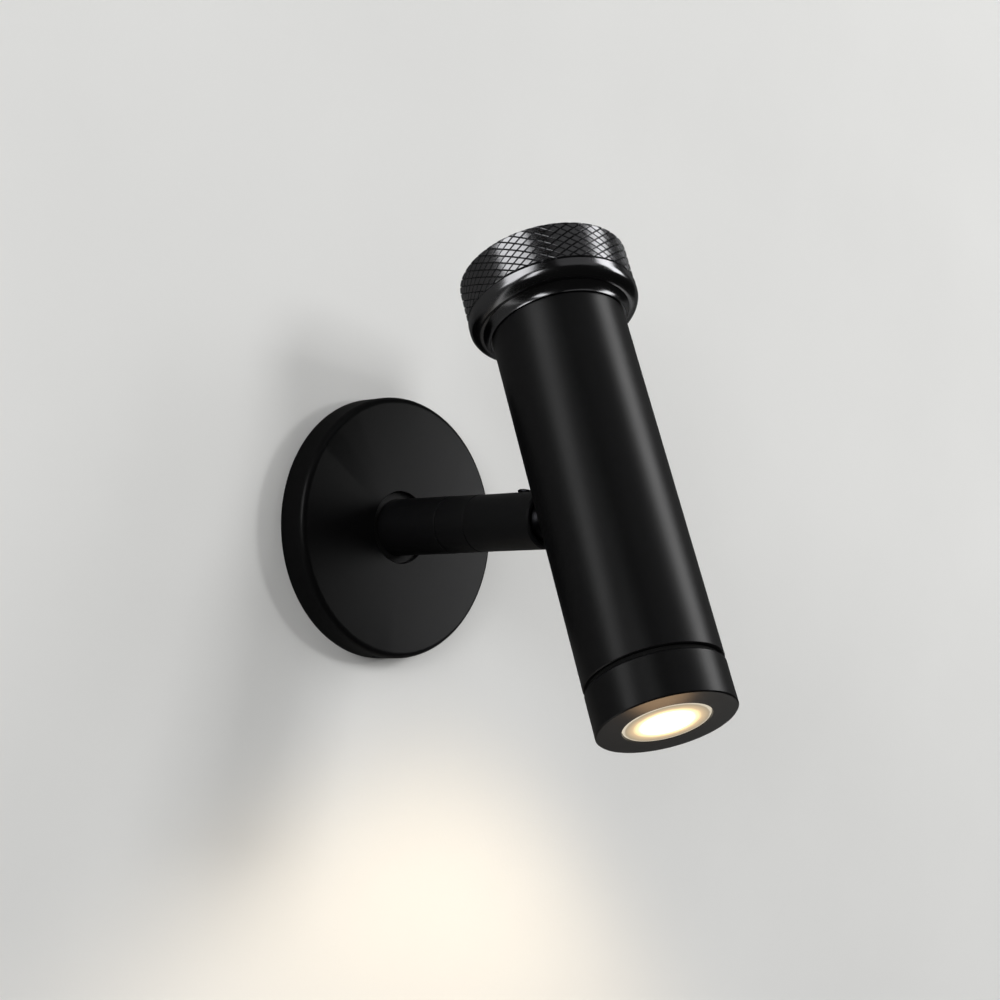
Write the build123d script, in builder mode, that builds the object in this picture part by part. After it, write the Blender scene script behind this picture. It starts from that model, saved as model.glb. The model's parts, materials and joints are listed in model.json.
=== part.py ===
"""Pivoting spotlight wall light: wall rose, swivelling arm, ball joint, tilting lamp head and dimmer knob.

Millimetres. The origin is the middle of the rose's back on the wall plane, +Z is up, and the room is on -Y.
The head is drawn in the pose it hangs in: its lens end is tilted out from the wall by tilt_at_rest.
"""
from build123d import *
from math import cos, radians, sin, sqrt
import os

os.makedirs("parts", exist_ok=True)

# ---------------------------------------------------------------- clearances
running_gap = 0.1        # radial, between surfaces that turn on each other
fit_gap = 0.1            # radial, between fixed pieces that slide together
shaft_fit = 0.02         # between the dimmer's shaft and the knob that is pushed on it
joint_gap = 0.15         # along the arm, where a turning ring meets a fixed one
knob_gap = 0.4           # between the knob and the collar below it

# ---------------------------------------------------------------- rose and bracket
rose_diameter = 80.0
rose_rim_wall = 2.2
rose_face_wall = 2.5
rose_edge_radius = 2.0
rose_hole_gap = 2.35         # between the arm and the edge of the rose's hole
wall_space = 0.8             # between the wall and the nut behind the bracket

bracket_sheet = 1.5
bracket_width = 24.0
bracket_rise_margin = 3.5    # from the earth screw to the end of the raised middle
bracket_leg_run = 3.0        # how far each sloping leg reaches along the wall
bracket_tab_width = 9.6
bracket_tab_gap = 1.8        # between a tab and the inside of the rose's rim
bracket_tab_front_gap = 0.5  # between a tab's end and the inside of the rose's face
wall_slot_inset = 3.0        # between a slot and the tab beyond it
wall_slot_width = 4.5
wall_slot_length = 9.0

grub_radius = 1.5
grub_height_from_wall = 4.0
grub_socket_flats = 1.5
grub_socket_depth = 1.5

nipple_radius = 5.0
nipple_bore_radius = 3.6
nipple_engagement = 8.0
nut_flats = 14.0
nut_thickness = 2.2
lock_washer_radius = 8.0
lock_washer_thickness = 0.6

bush_flange_width = 1.6
bush_flange_thickness = 1.6
bush_recess = 1.5            # how far the bush lies behind the rose's face
bush_back_gap = 0.3          # between the bush and the bracket

earth_screw_across = -7.5
earth_screw_gap = 1.0        # between its head and the bush's flange
screw_m3_radius = 1.5
screw_m3_head_radius = 2.75
screw_m3_head_height = 1.8
screw_drive_width = 0.8
screw_drive_depth = 0.9

terminal_width = 15.0
terminal_length = 12.0
terminal_front_gap = 1.6     # between the terminal block and the inside of the rose's face
terminal_way_radius = 1.5
terminal_ways = 3
terminal_way_pitch = 3.6

# ---------------------------------------------------------------- arm
arm_tube_diameter = 16.9
arm_step = 0.1               # radial, from the tube to the swivel ring and on to the base
arm_wall = 1.75
arm_base_length = 27.3       # from the bracket to the first joint line
swivel_ring_length = 11.8    # from the first joint line to the second
arm_inner_space = 2.95       # between the spigot's end and the ring that locks the ball seat
arm_edge_chamfer = 0.5
joint_line_chamfer = 0.2

spigot_wall = 1.8
ring_nose_step = 0.3         # radial, from the arm's bore out to the swivel ring's nose
ring_nose_length = 3.6
wave_washer_thickness = 0.9
spigot_nut_thickness = 2.4
spigot_nut_wall = 1.3
spigot_nut_gap = 0.4         # radial, between the nut and the arm's bore

ball_gap = 0.3               # radial, between the ball and the arm's bore
ball_centre_depth = 3.0      # how far the ball's centre lies inside the arm's open end
mouth_lip_depth = 1.0        # how far the lip that holds the ball in lies inside the open end
mouth_land = 0.75            # flat ring between the arm's outer chamfer and the hollow at its end
seat_back_thickness = 3.0
seat_front_setback = 3.5     # from the ball's centre back to the seat's front
seat_wall = 2.0
seat_lock_length = 3.4
seat_lock_wall = 3.1
set_screw_setback = 6.8      # from the ball's centre back to the screw on top of the arm
set_screw_head_radius = 2.1
set_screw_head_height = 0.7
set_screw_dome_radius = 0.5

# ---------------------------------------------------------------- head
tilt_at_rest = 25.4          # degrees between the head and the vertical
neck_length = 7.9            # from the ball's centre to the flat on the tube
neck_radius = 3.0
stud_shoulder = 0.5          # radial, from the stud's thread out to the neck
stud_wall = 1.2
tube_diameter = 39.5
tube_wall = 4.75
tube_above_neck = 51.0
tube_below_neck = 60.4
flat_wall = 1.5              # left behind the flat milled on the back of the tube
flat_half_length = 12.0
saddle_size = 12.0
saddle_rise = 1.4            # of the saddle washer over the top of the tube's bore
stud_nut_flats = 8.0
stud_nut_thickness = 3.0
stud_overrun = 1.0           # of the stud past its nut

groove_width = 1.3
bezel_length = 12.9
bezel_face_chamfer = 0.35
bezel_lip_thickness = 1.3
bezel_spigot_step = 1.9      # radial, from the tube's bore out to the bezel's spigot
bezel_spigot_wall = 2.1
bezel_spigot_length = 6.0
bezel_lip = 2.25
bezel_seam_chamfer = 0.5     # on the bezel's edge beside the groove
seam_chamfer = 0.25
groove_depth = 1.2

lens_rim_gap = 0.3
lens_flange_gap = 0.2        # radial, between the lens and the bezel's bore
lens_flange_thickness = 1.4
lens_setback = 0.1           # of the lens's front behind the bezel's face
lens_edge_chamfer = 0.3
lens_seal_thickness = 0.8
lens_seal_width = 1.2

optic_exit_inset = 2.0
optic_base_wall = 0.7
optic_depth = 10.6
optic_rim_thickness = 1.4
optic_pocket_gap = 0.7       # radial, round the light source
optic_pocket_depth = 2.6
optic_pocket_taper = 1.0

chip_radius = 5.2
chip_thickness = 0.9
board_gap = 1.4              # radial, between the board and the bezel's bore
board_thickness = 1.6
board_screw_inset = 2.8
board_screw_radius = 1.0
board_screw_head_radius = 1.9
board_screw_head_height = 1.1
board_screw_length = 6.0

sink_length = 26.0
sink_core_radius = 7.5
sink_disc_thickness = 5.0
sink_wire_gap = 0.2          # radial, round a wire through the disc
sink_wire_inset = 3.0        # from the edge of the board to the middle of a wire's way
sink_fin_count = 20
sink_fin_clearance = 0.15    # each side of a wire between two fins

driver_setback = 3.6         # from the head's axis to the back of the driver board
driver_thickness = 1.6
driver_slot_depth = 3.0
driver_pad_length = 5.0      # bare end of the board, where the dimmer's leads lie
component_margin = 2.0       # between the heat sink's fins and the first components
component_space = 3.0        # between components along the board

capacitor_radius = 3.4
capacitor_length = 10.0
capacitor_pitch = 11.0
coil_side = 8.0
coil_height = 5.5
driver_chip_side = 6.0
driver_chip_height = 1.6
driver_chip_pitch = 12.0

# ---------------------------------------------------------------- collar, dimmer and knob
collar_seam_step = 0.55      # radial, from the tube out to the collar at their seam
collar_land_step = 0.15      # radial, from the knob out to the collar's land
collar_land_width = 6.35
collar_land_height = 1.9
collar_roll_radius = 3.4
collar_height = 8.0
collar_cove_depth = 0.35
collar_spigot_length = 5.0
collar_spigot_wall = 1.5
collar_floor = 3.0

dimmer_radius = 8.5
dimmer_height = 8.0
dimmer_bush_radius = 4.0
dimmer_bush_height = 7.0
dimmer_nut_flats = 11.0
dimmer_nut_thickness = 2.0
dimmer_pin_radius = 0.6
dimmer_pin_length = 4.0
dimmer_pin_count = 5
dimmer_pin_pitch = 2.5
shaft_radius = 3.0
shaft_flat_depth = 1.4
shaft_end_gap = 1.0

knob_radius = 25.2
knob_height = 12.6
knob_top_radius = 0.8
knob_top_thickness = 2.6
knob_wall = 3.4
knob_boss_radius = 7.0
knob_boss_length = 7.0
knob_skirt_chamfer = 0.3
knob_grub_overrun = 1.0      # of the grub screw past the knob's boss

# ---------------------------------------------------------------- leads
arm_lead_gap = 0.8           # radial, between the lead and the spigot's bore
head_lead_radius = 1.1
head_lead_recess = 0.5        # from the ball's pole, so the lead stays inside the ball as it turns
led_lead_radius = 0.8
led_lead_bend = 3.0
led_lead_rise = 3.5          # over the heat sink's fins before the lead turns to the driver
dimmer_lead_overlap = 3.0    # how far the dimmer's leads lie on the driver board

# ================================================================ frames
OUT = Vector(0, -1, 0)
UP = Vector(0, 0, 1)
ACROSS = Vector(1, 0, 0)

tilt = radians(tilt_at_rest)
head_up = Vector(0, sin(tilt), cos(tilt))         # along the head, towards the knob
head_back = Vector(0, cos(tilt), -sin(tilt))      # square to the head, towards the wall
rose_inside_depth = (wall_space + nut_thickness + lock_washer_thickness + bracket_sheet + bush_back_gap
                     + bush_flange_thickness)
rose_depth = rose_inside_depth + rose_face_wall
bush_back = rose_inside_depth - bush_flange_thickness
bracket_front = bush_back - bush_back_gap
arm_base_end = bracket_front + arm_base_length
swivel_ring_end = arm_base_end + swivel_ring_length
nose_end = swivel_ring_end + ring_nose_length
washer_start = nose_end + joint_gap
nut_start = washer_start + wave_washer_thickness
spigot_end = nut_start + spigot_nut_thickness

arm_radius = arm_tube_diameter / 2
arm_bore_radius = arm_radius - arm_wall
ball_radius = arm_bore_radius - ball_gap
seat_back = spigot_end + arm_inner_space + seat_lock_length
ball_reach = seat_back + seat_back_thickness + ball_radius
arm_end = ball_reach + ball_centre_depth

tube_radius = tube_diameter / 2
tube_bore_radius = tube_radius - tube_wall
flat_from_axis = tube_bore_radius + flat_wall
ball_to_head_axis = flat_from_axis + neck_length
ball_centre = OUT * ball_reach
neck_foot = ball_centre - head_back * ball_to_head_axis


def along_arm(distance):
    """The plane across the arm at a distance from the wall: x across, y up, z out from the wall."""
    return Plane(origin=OUT * distance, x_dir=ACROSS, z_dir=OUT)


def along_head(height):
    """The plane across the head at a height over the neck: x across, y to the back, z to the knob."""
    return Plane(origin=neck_foot + head_up * height, x_dir=ACROSS, z_dir=head_up)


def outline_plane(start, direction):
    """The plane of a turned outline: x runs along the direction from the start, y is the radius."""
    return Plane(origin=start, x_dir=direction, z_dir=direction.cross(ACROSS))


arm_outline = outline_plane(Vector(0, 0, 0), OUT)
head_outline = outline_plane(neck_foot, head_up)
stud_outline = outline_plane(ball_centre, head_back * -1)


def spin(plane, points, mode=Mode.ADD):
    """Turn an outline of (along, radius) points about the plane's x axis, in the open part."""
    with BuildSketch(plane) as outline:
        with BuildLine():
            Polyline(*points, close=True)
        make_face()
    revolve(outline.sketch, axis=Axis(plane.origin, plane.x_dir), mode=mode)


def rod(plane, radius, length, mode=Mode.ADD):
    """Raise a round bar from a plane, in the open part."""
    with BuildSketch(plane) as disc:
        Circle(radius)
    extrude(disc.sketch, amount=length, mode=mode)


def hexagon(plane, flats, length, mode=Mode.ADD):
    """Raise a hexagonal bar from a plane, in the open part."""
    with BuildSketch(plane) as face:
        RegularPolygon(flats / 2, 6, major_radius=False)
    extrude(face.sketch, amount=length, mode=mode)


def block(plane, width, height, length, mode=Mode.ADD):
    """Raise a rectangular bar from a plane, in the open part."""
    with BuildSketch(plane) as face:
        Rectangle(width, height)
    extrude(face.sketch, amount=length, mode=mode)


def shifted(plane, across, up):
    """The same plane with its origin moved within it."""
    return Plane(origin=plane.from_local_coords((across, up, 0)), x_dir=plane.x_dir, z_dir=plane.z_dir)


def save(piece, name):
    """Label a finished part and write its STEP file."""
    piece.part.label = name
    export_step(piece.part, "parts/" + name + ".step")


# ================================================================ bracket and rose
rose_radius = rose_diameter / 2
rose_inside_radius = rose_radius - rose_rim_wall
arm_base_radius = arm_radius + 2 * arm_step
rose_hole_radius = arm_base_radius + rose_hole_gap
tab_outside = rose_inside_radius - bracket_tab_gap
tab_height = rose_inside_depth - bracket_tab_front_gap
bracket_rise = bracket_front - bracket_sheet
bush_flange_radius = rose_hole_radius + bush_flange_width
earth_screw_reach = bush_flange_radius + earth_screw_gap + screw_m3_head_radius
earth_screw_height = sqrt(earth_screw_reach ** 2 - earth_screw_across ** 2)
bracket_rise_half = earth_screw_height + bracket_rise_margin
half_sheet = bracket_sheet / 2
wall_slot_spacing = 2 * (tab_outside - bracket_sheet - wall_slot_inset) - wall_slot_length

with BuildPart() as wall_bracket:
    with BuildSketch(Plane.YZ.offset(-bracket_width / 2)) as strip:
        with BuildLine() as middle_line:
            Polyline(
                (-tab_height, tab_outside - half_sheet),
                (-half_sheet, tab_outside - half_sheet),
                (-half_sheet, bracket_rise_half + bracket_leg_run),
                (-bracket_rise - half_sheet, bracket_rise_half),
                (-bracket_rise - half_sheet, -bracket_rise_half),
                (-half_sheet, -bracket_rise_half - bracket_leg_run),
                (-half_sheet, -tab_outside + half_sheet),
                (-tab_height, -tab_outside + half_sheet),
            )
        trace(line_width=bracket_sheet)
    extrude(amount=bracket_width)
    # the tabs are narrower than the strip, so that they clear the round rim
    for side in (-1, 1):
        for edge in (-1, 1):
            corner = Plane(
                origin=(edge * bracket_width / 2, 0, side * tab_outside),
                x_dir=ACROSS,
                z_dir=OUT,
            )
            block(corner, bracket_width - bracket_tab_width, 4 * bracket_sheet, tab_height,
                  mode=Mode.SUBTRACT)
    with BuildSketch(Plane.XZ):
        with Locations((0, wall_slot_spacing / 2), (0, -wall_slot_spacing / 2)):
            SlotOverall(wall_slot_length, wall_slot_width, rotation=90)
    extrude(amount=2 * bracket_front, both=True, mode=Mode.SUBTRACT)
    rod(along_arm(0), nipple_radius + fit_gap, 2 * bracket_front, mode=Mode.SUBTRACT)
    earth_plane = shifted(along_arm(0), earth_screw_across, earth_screw_height)
    rod(earth_plane, screw_m3_radius, 2 * bracket_front, mode=Mode.SUBTRACT)
save(wall_bracket, "wall_bracket")

with BuildPart() as rose:
    spin(arm_outline, [
        (0, rose_inside_radius),
        (0, rose_radius),
        (rose_depth, rose_radius),
        (rose_depth, rose_hole_radius),
        (rose_inside_depth, rose_hole_radius),
        (rose_inside_depth, rose_inside_radius),
    ])
    front_edge = rose.edges().filter_by(GeomType.CIRCLE).sort_by(SortBy.RADIUS)[-2:].sort_by(Axis.Y)[0]
    fillet(front_edge, rose_edge_radius)
    hole_edge = rose.edges().filter_by(GeomType.CIRCLE).group_by(Axis.Y)[0].sort_by(SortBy.RADIUS)[0]
    chamfer(hole_edge, joint_line_chamfer)
    with BuildSketch(Plane.XY):
        with Locations((0, -grub_height_from_wall)):
            Circle(grub_radius + fit_gap)
    extrude(amount=rose_diameter, both=True, mode=Mode.SUBTRACT)
save(rose, "rose")

with BuildPart() as rose_grub_screws:
    for side in (-1, 1):
        seat = Plane(origin=(0, -grub_height_from_wall, side * tab_outside), x_dir=ACROSS, z_dir=UP * side)
        grub_length = rose_radius - tab_outside - fit_gap
        rod(seat, grub_radius, grub_length)
        hexagon(seat.offset(grub_length - grub_socket_depth), grub_socket_flats, grub_socket_depth,
                mode=Mode.SUBTRACT)
save(rose_grub_screws, "rose_grub_screws")

bush_front = rose_depth - bush_recess
bush_bore_radius = arm_base_radius + running_gap
with BuildPart() as rose_bush:
    spin(arm_outline, [
        (bush_back, bush_bore_radius),
        (bush_back, bush_flange_radius),
        (rose_inside_depth, bush_flange_radius),
        (rose_inside_depth, rose_hole_radius - fit_gap),
        (bush_front, rose_hole_radius - fit_gap),
        (bush_front, bush_bore_radius),
    ])
save(rose_bush, "rose_bush")

# ================================================================ arm fixing
nut_top = bracket_rise - lock_washer_thickness
with BuildPart() as lock_washer:
    rod(along_arm(nut_top), lock_washer_radius, lock_washer_thickness)
    rod(along_arm(nut_top), nipple_radius + fit_gap, lock_washer_thickness, mode=Mode.SUBTRACT)
save(lock_washer, "lock_washer")

with BuildPart() as base_nut:
    hexagon(along_arm(nut_top - nut_thickness), nut_flats, nut_thickness)
    rod(along_arm(nut_top - nut_thickness), nipple_radius, nut_thickness, mode=Mode.SUBTRACT)
save(base_nut, "base_nut")

with BuildPart() as base_nipple:
    nipple_start = nut_top - nut_thickness
    nipple_end = bracket_front + nipple_engagement
    nipple_length = nipple_end - nipple_start
    rod(along_arm(nipple_start), nipple_radius, nipple_length)
    rod(along_arm(nipple_start), nipple_bore_radius, nipple_length, mode=Mode.SUBTRACT)
save(base_nipple, "base_nipple")

spigot_nut_radius = arm_bore_radius - spigot_nut_gap
spigot_radius = spigot_nut_radius - spigot_nut_wall
spigot_bore_radius = spigot_radius - spigot_wall
with BuildPart() as arm_base:
    spin(arm_outline, [
        (bracket_front, nipple_radius),
        (bracket_front, arm_base_radius),
        (arm_base_end - joint_line_chamfer, arm_base_radius),
        (arm_base_end, arm_base_radius - joint_line_chamfer),
        (arm_base_end, spigot_radius),
        (spigot_end, spigot_radius),
        (spigot_end, spigot_bore_radius),
        (nipple_end, spigot_bore_radius),
        (nipple_end, nipple_radius),
    ])
save(arm_base, "arm_base")

with BuildPart() as earth_screw:
    rod(shifted(along_arm(bracket_front), earth_screw_across, earth_screw_height), screw_m3_head_radius,
        screw_m3_head_height)
    rod(shifted(along_arm(bracket_rise), earth_screw_across, earth_screw_height), screw_m3_radius,
        bracket_sheet)
    slot_plane = shifted(along_arm(bracket_front + screw_m3_head_height - screw_drive_depth),
                         earth_screw_across, earth_screw_height)
    block(slot_plane, 2 * screw_m3_head_radius, screw_drive_width, screw_drive_depth, mode=Mode.SUBTRACT)
save(earth_screw, "earth_screw")

terminal_offset = (bracket_width + terminal_length) / 2
terminal_height = rose_inside_depth - terminal_front_gap
with BuildPart() as terminal_block:
    terminal_base = shifted(along_arm(0), terminal_offset, 0)
    block(terminal_base, terminal_length, terminal_width, terminal_height)
    for way in range(terminal_ways):
        way_height = (way - (terminal_ways - 1) / 2) * terminal_way_pitch
        top = shifted(along_arm(terminal_height - screw_drive_depth), terminal_offset, way_height)
        rod(top, terminal_way_radius, screw_drive_depth, mode=Mode.SUBTRACT)
save(terminal_block, "terminal_block")

# ================================================================ arm
ring_start = arm_base_end + joint_gap
ring_radius = arm_radius + arm_step
ring_nose_radius = arm_bore_radius + ring_nose_step
with BuildPart() as swivel_ring:
    spin(arm_outline, [
        (ring_start, spigot_radius + running_gap),
        (ring_start, ring_radius - joint_line_chamfer),
        (ring_start + joint_line_chamfer, ring_radius),
        (swivel_ring_end - joint_line_chamfer, ring_radius),
        (swivel_ring_end, ring_radius - joint_line_chamfer),
        (swivel_ring_end, ring_nose_radius),
        (nose_end, ring_nose_radius),
        (nose_end, spigot_radius + running_gap),
    ])
save(swivel_ring, "swivel_ring")

with BuildPart() as wave_washer:
    spin(arm_outline, [
        (washer_start, spigot_radius + running_gap),
        (washer_start, spigot_nut_radius),
        (nut_start, spigot_nut_radius),
        (nut_start, spigot_radius + running_gap),
    ])
save(wave_washer, "wave_washer")

with BuildPart() as spigot_nut:
    rod(along_arm(nut_start), spigot_nut_radius, spigot_nut_thickness)
    rod(along_arm(nut_start), spigot_radius, spigot_nut_thickness, mode=Mode.SUBTRACT)
    for side in (-1, 1):
        notch = shifted(along_arm(spigot_end - screw_drive_depth), side * spigot_nut_radius, 0)
        block(notch, spigot_nut_radius - spigot_radius, screw_drive_width * 2, screw_drive_depth,
              mode=Mode.SUBTRACT)
save(spigot_nut, "spigot_nut")

mouth_edge_radius = arm_radius - arm_edge_chamfer - mouth_land
socket_radius = ball_radius + running_gap
lip_setback = ball_centre_depth - mouth_lip_depth
lip_radius = sqrt(socket_radius ** 2 - lip_setback ** 2)
set_screw_place = ball_reach - set_screw_setback
seat_radius = arm_bore_radius - fit_gap
with BuildPart() as arm_tube:
    spin(arm_outline, [
        (swivel_ring_end, ring_nose_radius),
        (swivel_ring_end, arm_radius - joint_line_chamfer),
        (swivel_ring_end + joint_line_chamfer, arm_radius),
        (arm_end - arm_edge_chamfer, arm_radius),
        (arm_end, arm_radius - arm_edge_chamfer),
        (arm_end, mouth_edge_radius),
        (arm_end - mouth_lip_depth, lip_radius),
        (ball_reach, lip_radius),
        (ball_reach, arm_bore_radius),
        (nose_end, arm_bore_radius),
        (nose_end, ring_nose_radius),
    ])
    with BuildSketch(arm_outline) as socket_half:
        with BuildLine():
            Line((ball_reach - socket_radius, 0), (ball_reach + socket_radius, 0))
            CenterArc((ball_reach, 0), socket_radius, 0, 180)
        make_face()
    revolve(socket_half.sketch, axis=Axis(arm_outline.origin, OUT), mode=Mode.SUBTRACT)
    screw_way = Plane(origin=OUT * set_screw_place, x_dir=ACROSS, z_dir=UP)
    rod(screw_way, screw_m3_radius, arm_tube_diameter, mode=Mode.SUBTRACT)
save(arm_tube, "arm_tube")

seat_bore_radius = seat_radius - seat_wall
with BuildPart() as ball_seat:
    rod(along_arm(seat_back), seat_radius, ball_reach - seat_front_setback - seat_back)
    with BuildSketch(arm_outline) as cup_half:
        with BuildLine():
            Line((ball_reach - socket_radius, 0), (ball_reach + socket_radius, 0))
            CenterArc((ball_reach, 0), socket_radius, 0, 180)
        make_face()
    revolve(cup_half.sketch, axis=Axis(arm_outline.origin, OUT), mode=Mode.SUBTRACT)
    rod(along_arm(seat_back), seat_bore_radius, ball_radius, mode=Mode.SUBTRACT)
save(ball_seat, "ball_seat")

with BuildPart() as seat_lock_ring:
    lock_start = seat_back - seat_lock_length
    rod(along_arm(lock_start), arm_bore_radius, seat_lock_length)
    rod(along_arm(lock_start), arm_bore_radius - seat_lock_wall, seat_lock_length, mode=Mode.SUBTRACT)
    slot_bottom = along_arm(lock_start)
    block(slot_bottom, arm_tube_diameter, screw_drive_width, screw_drive_depth, mode=Mode.SUBTRACT)
save(seat_lock_ring, "seat_lock_ring")

lead_end = seat_back + seat_back_thickness / 2
with BuildPart() as arm_lead:
    rod(along_arm(nipple_start), spigot_bore_radius - arm_lead_gap, lead_end - nipple_start)
save(arm_lead, "arm_lead")

with BuildPart() as arm_set_screw:
    tip = Plane(origin=OUT * set_screw_place + UP * seat_radius, x_dir=ACROSS, z_dir=UP)
    rod(tip, screw_m3_radius - fit_gap, arm_radius - seat_radius)
    head_seat = Plane(origin=OUT * set_screw_place + UP * (arm_radius + fit_gap), x_dir=ACROSS, z_dir=UP)
    rod(head_seat.offset(-fit_gap), screw_m3_radius - fit_gap, fit_gap)
    rod(head_seat, set_screw_head_radius, set_screw_head_height)
    fillet(arm_set_screw.edges().group_by(Axis.Z)[-1], set_screw_dome_radius)
    hexagon(head_seat, grub_socket_flats, set_screw_head_height, mode=Mode.SUBTRACT)
save(arm_set_screw, "arm_set_screw")

# ================================================================ ball stud and head tube
stud_radius = neck_radius - stud_shoulder
saddle_inside = sqrt(tube_bore_radius ** 2 - (saddle_size / 2) ** 2) - saddle_rise
stud_end = ball_to_head_axis - saddle_inside + stud_nut_thickness + stud_overrun

with BuildPart() as ball_stud:
    with BuildSketch(stud_outline) as ball_half:
        with BuildLine():
            Line((-ball_radius, 0), (ball_radius, 0))
            CenterArc((0, 0), ball_radius, 0, 180)
        make_face()
    revolve(ball_half.sketch, axis=Axis(ball_centre, head_back * -1))
    neck_plane = Plane(origin=ball_centre, x_dir=ACROSS, z_dir=head_back * -1)
    rod(neck_plane, neck_radius, neck_length)
    rod(neck_plane, stud_radius, stud_end)
    rod(neck_plane.offset(-ball_radius), stud_radius - stud_wall, ball_radius + stud_end, mode=Mode.SUBTRACT)
save(ball_stud, "ball_stud")

front_end = -tube_below_neck
bezel_spigot_radius = tube_bore_radius + bezel_spigot_step
with BuildPart() as head_tube:
    spin(head_outline, [
        (tube_above_neck, tube_bore_radius),
        (tube_above_neck, tube_radius - joint_line_chamfer),
        (tube_above_neck - joint_line_chamfer, tube_radius),
        (front_end + seam_chamfer, tube_radius),
        (front_end, tube_radius - seam_chamfer),
        (front_end, bezel_spigot_radius + fit_gap),
        (front_end + bezel_spigot_length, bezel_spigot_radius + fit_gap),
        (front_end + bezel_spigot_length, tube_bore_radius),
    ])
    flat_plane = shifted(along_head(-flat_half_length), 0, flat_from_axis + tube_radius / 2)
    block(flat_plane, tube_diameter, tube_radius, 2 * flat_half_length, mode=Mode.SUBTRACT)
    rod(neck_plane, stud_radius, ball_to_head_axis, mode=Mode.SUBTRACT)
save(head_tube, "head_tube")

with BuildPart() as stud_saddle:
    inside_face = Plane(origin=neck_foot + head_back * saddle_inside, x_dir=ACROSS, z_dir=head_back)
    block(inside_face, saddle_size, saddle_size, tube_bore_radius)
    with BuildSketch(along_head(-saddle_size)) as ring_round:
        Circle(tube_radius * 2)
        Circle(tube_bore_radius - fit_gap, mode=Mode.SUBTRACT)
    extrude(ring_round.sketch, amount=2 * saddle_size, mode=Mode.SUBTRACT)
    rod(neck_plane, stud_radius + fit_gap, ball_to_head_axis, mode=Mode.SUBTRACT)
save(stud_saddle, "stud_saddle")

with BuildPart() as stud_nut:
    nut_plane = neck_plane.offset(ball_to_head_axis - saddle_inside)
    hexagon(nut_plane, stud_nut_flats, stud_nut_thickness)
    rod(nut_plane, stud_radius, stud_nut_thickness, mode=Mode.SUBTRACT)
save(stud_nut, "stud_nut")

# ================================================================ lens end
bezel_bore_radius = bezel_spigot_radius - bezel_spigot_wall
bezel_opening_radius = bezel_bore_radius - bezel_lip
bezel_back = front_end - groove_width
face_height = bezel_back - bezel_length
lip_back = face_height + bezel_lip_thickness
spigot_back = front_end + bezel_spigot_length - fit_gap
with BuildPart() as front_bezel:
    spin(head_outline, [
        (spigot_back, bezel_bore_radius),
        (spigot_back, bezel_spigot_radius),
        (bezel_back, bezel_spigot_radius),
        (bezel_back, tube_radius - bezel_seam_chamfer),
        (bezel_back - bezel_seam_chamfer, tube_radius),
        (face_height + bezel_face_chamfer, tube_radius),
        (face_height, tube_radius - bezel_face_chamfer),
        (face_height, bezel_opening_radius),
        (lip_back, bezel_opening_radius),
        (lip_back, bezel_bore_radius),
    ])
save(front_bezel, "front_bezel")

with BuildPart() as groove_ring:
    spin(head_outline, [
        (bezel_back, bezel_spigot_radius + fit_gap),
        (bezel_back, tube_radius - groove_depth),
        (front_end, tube_radius - groove_depth),
        (front_end, bezel_spigot_radius + fit_gap),
    ])
save(groove_ring, "groove_ring")

lens_flange_radius = bezel_bore_radius - lens_flange_gap
lens_back = lip_back + lens_flange_thickness
lens_front_radius = bezel_opening_radius - lens_rim_gap
lens_front = face_height + lens_setback
with BuildPart() as lens:
    spin(head_outline, [
        (lens_front, 0),
        (lens_back, 0),
        (lens_back, lens_flange_radius),
        (lip_back, lens_flange_radius),
        (lip_back, lens_front_radius),
        (lens_front + lens_edge_chamfer, lens_front_radius),
        (lens_front, lens_front_radius - lens_edge_chamfer),
    ])
save(lens, "lens")

seal_back = lens_back + lens_seal_thickness
with BuildPart() as lens_seal:
    spin(head_outline, [
        (lens_back, lens_flange_radius - lens_seal_width),
        (lens_back, lens_flange_radius),
        (seal_back, lens_flange_radius),
        (seal_back, lens_flange_radius - lens_seal_width),
    ])
save(lens_seal, "lens_seal")

optic_back = seal_back + optic_depth
optic_pocket_radius = chip_radius + optic_pocket_gap
with BuildPart() as optic:
    spin(head_outline, [
        (seal_back, 0),
        (seal_back, lens_flange_radius - lens_seal_width / 2),
        (seal_back + optic_rim_thickness, lens_flange_radius - lens_seal_width / 2),
        (seal_back + optic_rim_thickness, lens_flange_radius - optic_exit_inset),
        (optic_back, optic_pocket_radius + optic_base_wall),
        (optic_back, optic_pocket_radius),
        (optic_back - optic_pocket_depth, optic_pocket_radius - optic_pocket_taper),
        (optic_back - optic_pocket_depth, 0),
    ])
save(optic, "optic")

chip_front = optic_back - chip_thickness
with BuildPart() as led_chip:
    rod(along_head(chip_front), chip_radius, chip_thickness)
save(led_chip, "led_chip")

board_back = optic_back + board_thickness
board_radius = bezel_bore_radius - board_gap
board_screw_offset = board_radius - board_screw_inset
wire_offset = board_radius - sink_wire_inset
with BuildPart() as led_board:
    rod(along_head(optic_back), board_radius, board_thickness)
    for side in (-1, 1):
        hole = shifted(along_head(optic_back), side * board_screw_offset, 0)
        rod(hole, board_screw_radius, board_thickness, mode=Mode.SUBTRACT)
save(led_board, "led_board")

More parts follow.
